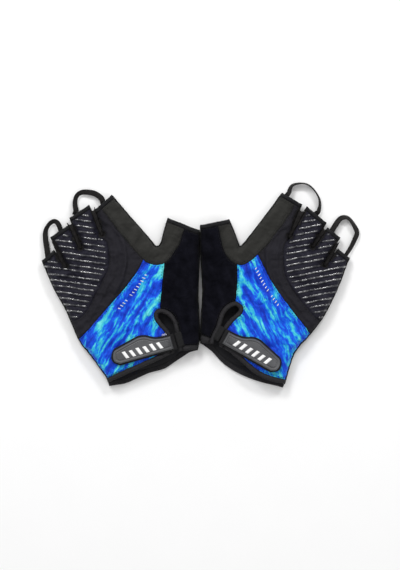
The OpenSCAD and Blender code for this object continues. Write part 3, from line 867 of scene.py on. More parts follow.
def back_net(side):
    """The net of the back, its triangle owners, and its distances to walls and slots."""
    patterns = [(n, loop) for n in BACK for loop in outlines(upper_faces(f"{side}_{n}", INSIDE_LEVEL))
                if len(loop) > 3]
    corners, tris, owners = net(patterns)
    walls, mouths = closed_edges(side, corners, tris, 6 * MM)
    slot_points = {}
    for g in GUSSETS:
        close = []
        cloud = triangles(f"{side}_{g}").reshape(-1, 3)[:, :2]
        low, high = cloud.min(0) - 0.3 * MM, cloud.max(0) + 0.3 * MM
        for a, b in walls:
            mid = (corners[a] + corners[b]) / 2
            if (mid > low).all() and (mid < high).all() and near_outline(cloud, mid):
                close.append((a, b))
        slot_points[g] = samples(corners, close)
    return corners, tris, owners, walls, mouths, slot_points


def near_outline(cloud, point):
    """Whether a point is on a straight line between two neighbouring corners of a cloud."""
    order = np.argsort(np.linalg.norm(cloud - point, axis=1))[:40]
    close = cloud[order]
    for i in range(len(close)):
        along = close[i] - point
        others = close - point
        cross = np.abs(along[0] * others[:, 1] - along[1] * others[:, 0])
        dot = (others * along).sum(1)
        reach = max(np.linalg.norm(along), 1e-9)
        if ((cross / reach < 0.02 * MM) & (dot < 0)).any() or np.linalg.norm(along) < 0.02 * MM:
            return True
    return False


def laid_folds(corners, tris, owners, d_seam):
    """Soft folds in the knit, along the seam of the finger panel, and a few across the fingers."""
    knit = np.unique(tris[owners == "knit_panel"])
    fingers = np.unique(tris[owners == "finger_panel"])
    seam = np.intersect1d(knit, fingers)
    lift = np.zeros(len(corners))
    d = distance(tree_of(corners[seam]), corners[knit]) / MM
    ridges = np.exp(-((d - 5.5) / 1.7) ** 2) - 0.8 * np.exp(-((d - 9.5) / 2.2) ** 2)
    ridges = ridges + np.exp(-((d - 14) / 2) ** 2)
    strength = 0.6 + 0.4 * np.sin(corners[knit][:, 1] * 55 + 1)
    lift[knit] = 1.35 * MM * ridges * strength
    x, y = corners[fingers][:, 0] / MM, corners[fingers][:, 1] / MM
    lift[fingers] = 0.45 * MM * np.sin(x / 5.3 + y / 9 + 2 * np.sin(y / 14)) * np.sin(y / 8.5 - x / 17)
    lift *= np.clip(d_seam / (3 * MM), 0, 1)
    return np.column_stack([np.zeros((len(corners), 2)), lift])


def nudged(corners):
    """The thumb sides lean on each other above and below a slim gap between the gloves."""
    close = np.clip((4 * MM - np.abs(corners[:, 0])) / (3 * MM), 0, 1)
    apart = np.exp(-((corners[:, 1] / MM + 4) / 17) ** 2)
    shift = -np.sign(corners[:, 0]) * close * (1 - apart) * 0.5 * MM
    return corners + np.column_stack([shift, np.zeros(len(corners))])


def shape_back(side, seed):
    corners, tris, owners, walls, mouths, slots = back_net(side)
    wall_tree = tree_of(samples(corners, walls))
    d_wall = distance(wall_tree, corners)
    solid_top = height_of_solids(side, corners)
    lift = puff(d_wall, ROLL) * 0.86 + np.clip(d_wall / (32 * MM), 0, 1) ** 0.8 * 0.14
    points = np.column_stack([nudged(corners), SEAM_HEIGHT + (solid_top - SEAM_HEIGHT) * lift])

    for g, close in slots.items():
        if close:
            middle = corners[tris].mean(1)
            near = distance(tree_of(close), middle) < GUSSET_SHOWN
            fingers = np.isin(owners.astype(str), ["finger_panel", "knit_panel", "web_band"])
            owners[near & fingers] = g

    rim = {}
    for t, owner in zip(tris, owners):
        for i in range(3):
            rim.setdefault((min(t[i], t[(i + 1) % 3]), max(t[i], t[(i + 1) % 3])), []).append(owner)
    seams = [e for e, who in rim.items() if len(who) == 1 or who[0] != who[1]]
    seam_tree = tree_of(samples(corners, seams))
    d_seam = distance(seam_tree, corners)

    points = points + laid_folds(corners, tris, owners, d_seam)
    rng = np.random.default_rng(seed)
    start = rng.normal(0, 0.05 * MM, len(points))
    pins = np.clip(1 - d_seam / (2.2 * MM), 0, 1) * 0.75
    pins = np.where(np.isin(np.arange(len(points)), np.array(walls + mouths).ravel()), 1.0, pins)
    shaped = wrinkle(points, tris, pins, 0.08, 3.2 * MM, seed_height=start)
    shaped = smooth(shaped, tris, 1, amount=0.3)
    return dict(corners=corners, tris=tris, owners=owners, walls=walls, points=shaped, d_seam=d_seam)


def panel_pieces(side, back):
    points, tris, owners, d = back["points"], back["tris"], back["owners"], back["d_seam"]
    normals = vertex_normals(points, tris)
    dip = 0.38 * MM * np.exp(-(d / (0.8 * MM)) ** 2)
    for name in BACK + GUSSETS:
        keep = owners == name
        if not keep.any():
            print("no net for", side, name)
            continue
        swell, width = SWELL.get(name, (0.0, 1.0))
        used, faces = part_of(points, tris, keep)
        rise = swell * MM * puff(d[used], width * MM) - dip[used]
        placed = points[used] + normals[used] * rise[:, None]
        look = PANEL_LOOK[name]
        made = piece(f"{side}_{name}_cloth", placed, faces, look, f"{side}_glove", thick=CLOTH_THICK,
                     stands_for=[f"{side}_{name}"], material=PRINTS[side] if look == "print_cloth" else None)
        declare_cloth(made, back["corners"][used], faces)
        back[name] = (placed, faces, used)
    print(side, "panels", sum(1 for n in made_pieces if n.startswith(side)))


# %% Shape both backs
backs = {}
for number, side in enumerate(SIDES):
    backs[side] = shape_back(side, 11 + number)
    panel_pieces(side, backs[side])

# %% [markdown]
# ## The palm
# The palm is one panel whose outline matches the back's, except at the wrist, where it runs on past the back
# and its hem shows through the open mouth. Its net faces down, so it is turned over after filling.

# %% Palm panel and its cuff
PALM = ["palm_panel", "cuff_binding"]


def palm_net(side):
    patterns = []
    for n in PALM:
        for loop in outlines(upper_faces(f"{side}_{n}", 1.5 * MM, 3 * MM)):
            if len(loop) > 3:
                patterns.append((n, loop))
    for n in BACK:
        if n.startswith("hem"):
            tris = triangles(f"{side}_{n}")
            normal = np.cross(tris[:, 1] - tris[:, 0], tris[:, 2] - tris[:, 0])
            down = normal[:, 2] < -0.9 * np.linalg.norm(normal, axis=1)
            floor = tris[down & (tris[:, :, 2].max(1) < 2 * MM)][:, ::-1]
            patterns += [(n, loop) for loop in outlines(floor) if len(loop) > 3]
    return net(patterns, seed=8)


def palm_pieces(side):
    corners, tris, owners = palm_net(side)
    walls = closed_edges(side, corners, tris, 6 * MM)[0]
    d_wall = distance(tree_of(samples(corners, walls)), corners)
    rise = (SEAM_HEIGHT - PALM_OUTSIDE) * (1 - puff(d_wall, 6 * MM))
    ripple = np.sin(corners[:, 0] * 170 + 2) * np.sin(corners[:, 1] * 140) * 0.25 * MM
    points = np.column_stack([nudged(corners), PALM_OUTSIDE + rise + np.abs(ripple) * puff(d_wall, 9 * MM)])
    down = tris[:, ::-1]
    for name in sorted(set(owners)):
        used, faces = part_of(points, down, owners == name)
        look = {"palm_panel": "palm_cloth", "cuff_binding": "binding"}.get(name, "hem_cloth")
        made = piece(f"{side}_palm_{name}_cloth".replace("palm_palm", "palm"), points[used], faces, look,
                     f"{side}_glove", thick=CLOTH_THICK,
                     stands_for=[f"{side}_palm_panel"] if name == "palm_panel" else ())
        declare_cloth(made, corners[used], faces)
    return dict(corners=corners, tris=tris, owners=owners, points=points, walls=walls)


palms = {side: palm_pieces(side) for side in SIDES}

# %% [markdown]
# ## Finding lines in the solids
# A ribbon or a rib is a long thin solid, so its middle line is halfway between its two long sides. The sides
# are found by cutting the outline of its top at its two short ends.

# %% Middle line of a strip
def middle_line(loop):
    """The line down the middle of a closed outline whose two shortest far-apart edges are its ends."""
    lengths = np.linalg.norm(np.roll(loop, -1, 0) - loop, axis=1)
    count = len(loop)
    best = None
    half = count // 2
    for i in range(count):
        j = (i + half) % count
        total = lengths[i] + lengths[j]
        if best is None or total < best[0]:
            best = (total, i, j)
    _, i, j = best
    one = np.array([loop[k % count] for k in range(i + 1, i + 1 + half)])
    two = np.array([loop[k % count] for k in range(j + 1, j + 1 + half)])[::-1]
    return (one + two) / 2


def along_line(line):
    """Distance along a line at each of its points."""
    return np.concatenate([[0], np.cumsum(np.linalg.norm(np.diff(line, axis=0), axis=1))])


def even_line(line, step):
    """The same line with evenly spaced points, its corners rounded by two averaging passes."""
    for _ in range(2):
        doubled = [line[0]]
        for a, b in zip(line, line[1:]):
            doubled += [a * 0.75 + b * 0.25, a * 0.25 + b * 0.75]
        line = np.array(doubled + [line[-1]])
    run = along_line(line)
    count = max(2, int(round(run[-1] / step)) + 1)
    at = np.linspace(0, run[-1], count)
    return np.column_stack([np.interp(at, run, line[:, k]) for k in range(line.shape[1])])


# %% [markdown]
# ## Silicone ribs
# The grip ribs are printed in thick silicone straight onto the cloth, so they follow its folds. Each rib's
# middle line is dropped onto the finger panel's net, and a node tree sweeps a round profile along all of
# them.

# %% Ribs that lie on the cloth
RIB_WIDE = 0.98 * MM


def drop_tree(points, tris):
    return BVHTree.FromPolygons([tuple(p) for p in points], [tuple(int(i) for i in t) for t in tris])


def drop(bvh, place, above=0.0):
    """Height of the cloth under a 2D place, plus a little."""
    hit = bvh.ray_cast(Vector((place[0], place[1], 0.06)), Vector((0, 0, -1)))
    return None if hit[0] is None else hit[0].z + above


def ribs(side):
    surface = drop_tree(*backs[side]["finger_panel"][:2])
    rng = random.Random(5 if side == "left" else 6)
    points, edges = [], []
    for loop in outlines(upper_faces(f"{side}_grip_ribs", INSIDE_LEVEL)):
        middle = loop.mean(0)
        spread = loop - middle
        along = np.linalg.svd(spread, full_matrices=False)[2][0]
        reach = spread @ along
        if reach.max() - reach.min() < 3 * MM:
            continue
        a, b = middle + along * (reach.min() + 0.9 * MM), middle + along * (reach.max() - 0.9 * MM)
        slide = np.array([0, rng.uniform(-0.25, 0.25) * MM])
        line = finer(np.array([a, b]), 0.8 * MM, closed=False)
        row = []
        for k, p in enumerate(line):
            place = p + slide + np.array([0, math.sin(k * 0.21 + slide[1] * 9000) * 0.12 * MM])
            wave = math.sin(k * 0.9 + slide[1] * 20000) * math.sin(k * 0.37 + slide[1] * 7000)
            z = drop(surface, place, 0.12 * MM + wave * 0.14 * MM)
            if z is not None:
                row.append((place[0], place[1], z))
        if len(row) > 3:
            first = len(points)
            points += row
            edges += [(first + i, first + i + 1) for i in range(len(row) - 1)]
    made = grown(f"{side}_silicone_ribs", points, edges, TUBES, "silicone", f"{side}_glove", "silicone",
                 Radius=RIB_WIDE)
    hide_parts(f"{side}_grip_ribs")
    print(side, "ribs", len(edges), "steps")


for side in SIDES:
    ribs(side)

# %% [markdown]
# ## Ribbon loops
# The loops are woven ribbon, folded double and caught in the finger ends. A ribbon can't bend in its own
# plane, so on its way round it twists: it leaves each finger on edge and turns flatter over the top. It is
# swept here as a thin flat section whose roll angle follows the distance along the loop.

# %% Twisted ribbons
RIBBON_THICK = 0.9 * MM
# Tilt from upright in degrees, at shares of the way along each loop
TILT = {("left", "index_middle"): ((0, 74), (0.3, 80), (0.5, 62), (0.64, 22), (0.78, 58), (1, 66)),
        ("left", "ring_little"): ((0, 62), (0.22, 64), (0.4, 16), (0.58, 70), (0.8, 78), (1, 62)),
        ("right", "index_middle"): ((0, 52), (0.12, 44), (0.26, 12), (0.7, 10), (0.88, 38), (1, 56)),
        ("right", "ring_little"): ((0, 74), (0.24, 70), (0.4, 18), (0.56, 66), (0.76, 50), (1, 40))}


def ribbon_loop(side, pair):
    node = f"{side}_pull_loop_{pair}"
    low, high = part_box(node)
    loop = max(outlines(upper_faces(node, (low.z + high.z) / 2)), key=len)
    line = even_line(middle_line(loop), 0.9 * MM)
    if abs(line[0][0]) > abs(line[-1][0]):
        line = line[::-1]
    ends = np.array([line[1] - line[0], line[-2] - line[-1]])
    ends /= np.linalg.norm(ends, axis=1)[:, None]
    line = np.vstack([line[0] - ends[0] * 3.5 * MM, line, line[-1] - ends[1] * 3.5 * MM])
    run = along_line(line) / along_line(line)[-1]
    shares, tilts = zip(*TILT[(side, pair)])
    tilt = np.interp(run, shares, tilts)
    for _ in range(30):
        tilt[1:-1] = (tilt[:-2] + tilt[2:]) / 2
    half = (high.z - low.z) / 2 * 0.98
    middle_z = (low.z + high.z) / 2 + 0.3 * MM
    points, faces = [], []
    count = len(line)
    section = [(-1, -1), (-0.6, -1.25), (0.6, -1.25), (1, -1), (1, 1), (0.6, 1.25), (-0.6, 1.25), (-1, 1)]
    for i in range(count):
        ahead, behind = line[min(i + 1, count - 1)], line[max(i - 1, 0)]
        along = (ahead - behind) / np.linalg.norm(ahead - behind)
        out = np.array([along[1], -along[0], 0])
        roll = math.radians(90 - tilt[i])
        wide = out * math.cos(roll) + np.array([0, 0, math.sin(roll)])
        thin = -out * math.sin(roll) + np.array([0, 0, math.cos(roll)])
        wave = math.sin(run[i] * 23 + len(pair)) * 0.35 * MM
        centre = np.array([line[i][0], line[i][1], middle_z + wave])
        for u, v in section:
            points.append(centre + wide * (v / 1.25) * half + thin * u * RIBBON_THICK / 2)
    n = len(section)
    for i in range(count - 1):
        for k in range(n):
            a, b = i * n + k, i * n + (k + 1) % n
            faces.append((a, b, b + n, a + n))
    faces += [tuple(range(n))[::-1], tuple(range((count - 1) * n, count * n))]
    body = f"{side}_{'index' if pair == 'index_middle' else 'little'}_loop"
    made = piece(f"{side}_ribbon_{pair}", points, faces, "ribbon", body, stands_for=[node])
    outward(made)


def outward(made):
    """Turn a closed piece's faces to look out."""
    shape = bmesh.new()
    shape.from_mesh(made.data)
    bmesh.ops.recalc_face_normals(shape, faces=shape.faces)
    shape.to_mesh(made.data)
    shape.free()


for side in SIDES:
    for pair in ("index_middle", "ring_little"):
        ribbon_loop(side, pair)

# %% [markdown]
# ## The strap
# A strap has a cloth back with a woven edge, a moulded rubber cover with a raised rim, a printed mark, and
# hooks under its tip. Each is a slab with a rounded edge: its outline is filled with a fine net, the upper
# net is domed and rimmed by its distance to the edge, and the lower net closes it. It peels as one body.

# %% Slabs with shaped tops
def slab(name, loop, top_of, look, body, step=0.9 * MM, bottom_of=None, base=0.0, stands_for=(), slot=None):
    """A closed slab over an outline. top_of and bottom_of take the distance to the edge and the places."""
    corners, tris, _ = net([("slab", loop)], step)
    rim = rim_edges(tris)
    d = distance(tree_of(samples(corners, rim, 0.2 * MM)), corners)
    upper = np.column_stack([corners, top_of(d, corners)])
    under = bottom_of(d, corners) if bottom_of else np.full(len(corners), base)
    lower = np.column_stack([corners, np.minimum(under, upper[:, 2] - 0.05 * MM)])
    count = len(corners)
    faces = [tuple(t) for t in tris] + [tuple(t[::-1] + count) for t in tris]
    faces += [(b, a, a + count, b + count) for a, b in rim]
    return piece(name, np.vstack([upper, lower]), faces, look, body, slot, stands_for)


def biggest_outline(node, low=0.0, high=1.0):
    loops = outlines(upper_faces(node, low, high))
    return max(loops, key=lambda l: np.ptp(l[:, 0]) * np.ptp(l[:, 1]))


def round_edge(d, radius):
    return radius * (puff(d, radius) - 1)


def rounded(loop, passes=2):
    """Cut the corners of a closed outline a few times, which turns it into a smooth curve."""
    for _ in range(passes):
        after = np.roll(loop, -1, 0)
        loop = np.stack([loop * 0.75 + after * 0.25, loop * 0.25 + after * 0.75], 1).reshape(-1, 2)
    return loop


def strap(side):
    body = f"{side}_strap"
    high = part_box(f"{side}_strap_tab")[1]
    back_low, back_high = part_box(f"{side}_strap_backing")
    joint = next(j for j in frame["joints"] if j["name"] == f"{side}_strap_peel")
    root = np.array(joint["pos_m"][:2])
    axis = np.array(joint["axis"][:2])
    along = np.array([-axis[1], axis[0]])
    tip = biggest_outline(f"{side}_strap_backing").mean(0) - root
    along = along if along @ tip > 0 else -along
    across = np.array([-along[1], along[0]])
    reach = biggest_outline(f"{side}_strap_tab")
    reach = ((reach - root) @ along).max()

    def curl(p):
        """The strap dips a little after its root and lifts at its tip."""
        t = (p - root) @ along / reach
        return (-0.9 * np.sin(np.clip(t, 0, 1) * math.pi) + 0.55 * np.clip(t - 0.8, 0, 1) * 5 * 0.2) * MM

    edge = biggest_outline(f"{side}_strap_backing")
    slab(f"{side}_strap_back_cloth", edge, lambda d, p: back_high.z + curl(p) + round_edge(d, 0.5 * MM),
         "strap_web", body, bottom_of=lambda d, p: back_low.z + curl(p) - round_edge(d, 0.35 * MM),
         stands_for=[f"{side}_strap_backing"])

    cover = inset(outer_of_tab(side), 0.7 * MM)
    rubber_top = high.z - 0.5 * MM
    rim_high = 0.5 * MM

    def rubber(d, p):
        """A raised rim, a groove inside it, and a low dome over the middle."""
        rim = np.exp(-((d - 1.3 * MM) / (0.6 * MM)) ** 2) * rim_high
        groove = np.exp(-((d - 2.35 * MM) / (0.3 * MM)) ** 2) * 0.65 * MM
        dome = puff(np.maximum(d - 2.4 * MM, 0), 6 * MM) * 0.35 * MM
        t = ((p - root) @ along) / reach
        slope = np.clip((0.16 - t) / 0.12, 0, 1) * 0.5 * MM
        return rubber_top + curl(p) + rim - groove + dome - slope + round_edge(d, 0.8 * MM)

    made = slab(f"{side}_strap_rubber", cover, rubber, "tab_rubber", body, step=0.55 * MM,
                bottom_of=lambda d, p: back_high.z + curl(p) - 0.02 * MM, stands_for=[f"{side}_strap_tab"])
    print(made.name, "over", round(reach / MM, 1), "mm")

    hooks_low, hooks_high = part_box(f"{side}_hook_pad")
    slab(f"{side}_hook_tape", rounded(biggest_outline(f"{side}_hook_pad"), 1),
         lambda d, p: hooks_high.z + curl(p), "hook_tape", body,
         bottom_of=lambda d, p: hooks_high.z - 0.45 * MM + curl(p), stands_for=[f"{side}_hook_pad"])
    return dict(root=root, along=along, across=across, curl=curl, rubber_top=rubber_top,
                body=body, cover=cover, hooks=(hooks_low, hooks_high), back=(back_low, back_high))


def inset(loop, by):
    """An anticlockwise outline moved inwards."""
    ahead, behind = np.roll(loop, -1, 0) - loop, loop - np.roll(loop, 1, 0)
    ahead /= np.linalg.norm(ahead, axis=1)[:, None]
    behind /= np.linalg.norm(behind, axis=1)[:, None]
    inward = np.column_stack([-(ahead + behind)[:, 1], (ahead + behind)[:, 0]])
    return loop + inward / np.linalg.norm(inward, axis=1)[:, None] * by


def outer_of_tab(side):
    """Outline of the rubber, from its under face."""
    tris = triangles(f"{side}_strap_tab")
    normal = np.cross(tris[:, 1] - tris[:, 0], tris[:, 2] - tris[:, 0])
    down = tris[normal[:, 2] < -0.9 * np.linalg.norm(normal, axis=1)][:, ::-1]
    return max(outlines(down), key=lambda l: np.ptp(l[:, 0]) * np.ptp(l[:, 1]))


straps = {side: strap(side) for side in SIDES}

# %% [markdown]
# ## The mark on the strap
# A plain mark of slanted bars and a wave line stands where a maker would print a name. It is raised a little,
# with softened edges, and follows the curl of the rubber.

# %% Slanted bars
def bars(side):
    s = straps[side]
    loops = outlines(upper_faces(f"{side}_strap_bars", 0))
    points, faces = [], []
    for loop in loops:
        corners, tris, _ = net([("bar", loop)], 0.6 * MM)
        rim = rim_edges(tris)
        d = distance(tree_of(samples(corners, rim, 0.1 * MM)), corners)
        base = s["rubber_top"] + s["curl"](corners)
        upper = np.column_stack([corners, base + 0.3 * MM * puff(d, 0.4 * MM) + 0.36 * MM])
        lower = np.column_stack([corners, base - 0.1 * MM])
        first, count = len(points), len(corners)
        points += list(upper) + list(lower)
        faces += [tuple(t + first) for t in tris] + [tuple(t[::-1] + first + count) for t in tris]
        faces += [(b + first, a + first, a + count + first, b + count + first) for a, b in rim]
    piece(f"{side}_strap_mark", points, faces, "bar_print", s["body"], stands_for=[f"{side}_strap_bars"])


for side in SIDES:
    bars(side)

# %% [markdown]
# ## Hooks, loop patch and the sewn root
# Under the tip is a field of tiny hooks, scattered evenly by a node tree. The patch on the glove that they
# grip is short pile, and the root of the strap is sewn down beside the slit.

# %% Hook field
def hook_tree():
    tree, start, end = tree_with("hooks", [("Gap", 1.5 * MM), ("Tall", 0.5 * MM), ("Thick", 0.3 * MM)])
    spread = add_node(tree, "GeometryNodeDistributePointsOnFaces", {"distribute_method": "POISSON"},
                      Mesh=start.outputs["Geometry"])
    tree.links.new(start.outputs["Gap"], spread.inputs["Distance Min"])
    spread.inputs["Density Max"].default_value = 900000
    spread.inputs["Seed"].default_value = 4
    stem = add_node(tree, "GeometryNodeMeshCone", Vertices=5, Radius_Top=0.35, Radius_Bottom=0.5, Depth=1.0)
    size = add_node(tree, "ShaderNodeCombineXYZ", X=start.outputs["Thick"], Y=start.outputs["Thick"],
                    Z=start.outputs["Tall"])
    placed = add_node(tree, "GeometryNodeInstanceOnPoints", Points=spread.outputs["Points"],
                      Instance=stem.outputs[0], Rotation=spread.outputs["Rotation"], Scale=size.outputs[0])
    close_tree(tree, start, end, placed.outputs[0])
    return tree


HOOKS = hook_tree()


def grown_on(name, points, faces, tree, look, body, slot, **sizes):
    """Run a node tree on a patch of faces and keep the plain mesh."""
    mesh = bpy.data.meshes.new(name + "_patch")
    mesh.from_pydata([tuple(p) for p in points], [], [tuple(int(i) for i in f) for f in faces])
    patch = bpy.data.objects.new(name + "_patch", mesh)
    scene.collection.objects.link(patch)
    modifier = patch.modifiers.new("grow", "NODES")
    modifier.node_group = tree
    for item in tree.interface.items_tree:
        if item.in_out == "INPUT" and item.name in sizes:
            modifier[item.identifier] = sizes[item.name]
        if item.in_out == "INPUT" and item.name == "Material":
            modifier[item.identifier] = LOOKS[look]
    grown_mesh = bpy.data.meshes.new_from_object(patch.evaluated_get(bpy.context.evaluated_depsgraph_get()))
    bpy.data.objects.remove(patch)
    made = bpy.data.objects.new(name, grown_mesh)
    grown_mesh.name = name
    scene.collection.objects.link(made)
    finish_piece(made, body)
    return made


for side in SIDES:
    s = straps[side]
    loop = biggest_outline(f"{side}_hook_pad")
    middle = loop.mean(0)
    inner = middle + (loop - middle) * 0.93
    corners, tris, _ = net([("hooks", inner)], 2 * MM)
    level = s["hooks"][1].z - 0.55 * MM + s["curl"](corners)
    grown_on(f"{side}_hooks", np.column_stack([corners, level]), tris[:, ::-1], HOOKS, "hook_tape", s["body"],
             "hook_tape", Gap=1.25 * MM)
    surface = drop_tree(backs[side]["points"], backs[side]["tris"])
    patch_loop = rounded(biggest_outline(f"{side}_loop_patch"), 1)

    def heights(p):
        """The height of the back under some places."""
        return np.array([drop(surface, q) or BACK_HIGH for q in p])

    def root_top(d, p):
        """The sewn root climbs from the back of the glove to the underside of the strap."""
        climb = np.clip(((p - s["root"]) @ s["along"]) / (7 * MM) + 1, 0, 1)
        spare = anchor_high.z - heights(p) - 0.4 * MM
        return heights(p) + 0.3 * MM + round_edge(d, 0.6 * MM) + climb * spare

    slab(f"{side}_loop_pile", patch_loop, lambda d, p: heights(p) + 0.55 * MM * puff(d, 0.7 * MM),
         "loop_tape", f"{side}_glove", step=1.1 * MM, bottom_of=lambda d, p: heights(p) - 0.25 * MM,
         stands_for=[f"{side}_loop_patch"])
    anchor_low, anchor_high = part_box(f"{side}_strap_anchor")
    anchor_loop = biggest_outline(f"{side}_strap_anchor")
    slab(f"{side}_strap_root", anchor_loop,
         root_top, "strap_web", f"{side}_glove", bottom_of=lambda d, p: heights(p) - 0.4 * MM,
         stands_for=[f"{side}_strap_anchor"])

# %% [markdown]
# ## Palm patches, pads and lining
# The palm carries suede patches where a rope runs, over foam pads that are quilted into the lining inside.
# Each patch is a padded slab that faces the table; the pads and lining fill the solids inside the hand.

# %% Underside and inside
for side in SIDES:
    body = f"{side}_glove"
    low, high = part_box(f"{side}_palm_patch")
    for number, loop in enumerate(outlines(upper_faces(f"{side}_palm_patch", 0.0, 2 * MM))):
        made = slab(f"{side}_palm_patch_{number}", rounded(loop, 2),
                    lambda d, p: np.full(len(p), high.z + 0.25 * MM), "palm_suede", body, step=1.6 * MM,
                    bottom_of=lambda d, p: low.z + 0.45 * MM * (1 - puff(d, 1.6 * MM))
                    + 0.3 * MM * np.exp(-((d - 2.4 * MM) / (0.5 * MM)) ** 2),
                    stands_for=[f"{side}_palm_patch"] if number == 0 else ())
    pad_low, pad_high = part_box(f"{side}_palm_pads")
    for number, loop in enumerate(outlines(upper_faces(f"{side}_palm_pads", 0.0))):
        made = slab(f"{side}_foam_pad_{number}", rounded(loop, 2),
                    lambda d, p: pad_low.z + (pad_high.z - pad_low.z) * (0.25 + 0.75 * puff(d, 5 * MM)),
                    "foam", body, step=1.6 * MM, base=pad_low.z,
                    stands_for=[f"{side}_palm_pads"] if number == 0 else ())
    lining_low, lining_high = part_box(f"{side}_palm_lining")
    loops = sorted(outlines(upper_faces(f"{side}_palm_lining", 0.0)), key=lambda l: -np.ptp(l[:, 0]))
    slab(f"{side}_palm_lining_cloth", rounded(loops[0], 2),
         lambda d, p: lining_low.z + 0.35 * MM + (lining_high.z - lining_low.z - 0.3 * MM) * puff(d, 9 * MM),
         "lining", body, step=2 * MM, base=lining_low.z, stands_for=[f"{side}_palm_lining"])

# %% [markdown]
# ## Stitching
# Stitches hold every seam. Single rows run beside the panel seams, double rows along the suede band and the
# bindings, and one row round the strap. The rows come from the distance to each panel's edge.

# %% Rows of stitches on the panels
ROWS = {"web_band": (1.3, 2.6), "cuff_binding": (1.0,), "slit_binding": (0.9,), "hem_thumb": (1.2,),
        "hem_index": (1.2,), "hem_middle": (1.2,), "hem_ring": (1.2,), "hem_little": (1.2,),
        "knit_panel": (1.3,), "finger_panel": (1.3,), "thumb_panel": (1.4,), "print_panel": (1.3,)}
for side in SIDES:
    back = backs[side]
    points, edges = [], []
    for name, levels in ROWS.items():
        placed, faces, used = back[name]
        own_rim = rim_edges(faces)
        d = distance(tree_of(samples(placed, own_rim, 0.3 * MM)), placed)
        normals = vertex_normals(placed, faces)
        lifted = placed + normals * 0.1 * MM
        for level in levels:
            line, ends = contour(lifted, faces, d, level * MM)
            edges += [(a + len(points), b + len(points)) for a, b in ends]
            points += list(line)
    grown(f"{side}_seam_stitches", points, edges, STITCHES, "black_thread", f"{side}_glove", "hem_cloth",
          Step=2.5 * MM, Long=1.75 * MM, Thick=0.4 * MM)
    s = straps[side]
    corners, tris, _ = net([("row", s["cover"])], 0.8 * MM)
    d = distance(tree_of(samples(corners, rim_edges(tris), 0.2 * MM)), corners)
    on_rubber = np.column_stack([corners, s["rubber_top"] + 0.15 * MM + s["curl"](corners)])
    line, ends = contour(on_rubber, tris, d, 3.4 * MM)
    grown(f"{side}_strap_stitches", line, ends, STITCHES, "grey_thread", s["body"], "strap_web",
          Step=1.9 * MM, Long=1.3 * MM, Thick=0.4 * MM)
    palm = palms[side]
    used, faces = part_of(palm["points"], palm["tris"], palm["owners"] == "cuff_binding")
    placed = palm["points"][used]
    d = distance(tree_of(samples(placed, rim_edges(faces), 0.3 * MM)), placed)
    inside = placed + np.array([0, 0, CLOTH_THICK + 0.12 * MM])
    line, ends = contour(inside, faces, d, 1.3 * MM)
    grown(f"{side}_palm_cuff_stitches", line, ends, STITCHES, "grey_thread", f"{side}_glove", "hem_cloth",
          Step=2.4 * MM, Long=1.6 * MM, Thick=0.45 * MM)
print("pieces", len(made_pieces))

# %% [markdown]
# ## Side seams
# Back and palm are sewn together edge to edge. The seam is a small rolled edge all along the closed outline,
# and it also hides the thin gap between the two nets.

# %% Rolled edges
for side in SIDES:
    back = backs[side]
    points = back["points"]
    grown(f"{side}_side_seam", points, back["walls"], TUBES, "black_thread", f"{side}_glove", "hem_cloth",
          Radius=0.6 * MM, Step=1.2 * MM)

# %% [markdown]
# ## Gussets folded between the fingers
# A finger gusset is a strip that runs down one finger, through the crotch and up the next. With no hand in
# the glove its two legs puff up between the fingers and hide the table. Each is made as rows across its slot,
# from the crotch to a shallow V near the finger ends.

# %% Strips that fill the slots
def slot_sides(gusset):
    """The long axis of a slot and its two straight sides, from the gusset solid that lines it."""
    tris = triangles(gusset)
    normal = np.cross(tris[:, 1] - tris[:, 0], tris[:, 2] - tris[:, 0])
    down = normal[:, 2] < -0.9 * np.linalg.norm(normal, axis=1)
    loop = finer(max(outlines(tris[down & (tris[:, :, 2].max(1) < 3 * MM)][:, ::-1]), key=len), 0.3 * MM)
    centre = loop.mean(0)
    axis = np.linalg.svd(loop - centre, full_matrices=False)[2][0]
    axis = axis * np.sign(axis[1])
    across = np.array([-axis[1], axis[0]])
    t, c = (loop - centre) @ axis, (loop - centre) @ across
    straight = t > t.min() + 3 * MM
    middle = np.polyval(np.polyfit(t[straight], c[straight], 1), t)
    left = np.polyfit(t[straight & (c > middle)], c[straight & (c > middle)], 1)
    right = np.polyfit(t[straight & (c < middle)], c[straight & (c < middle)], 1)
    return centre, axis, across, left, right, t.min(), t.max()


FOLD_PAST = 0.3 * MM
FOLD_ROWS = 34
FOLD_COLUMNS = 13


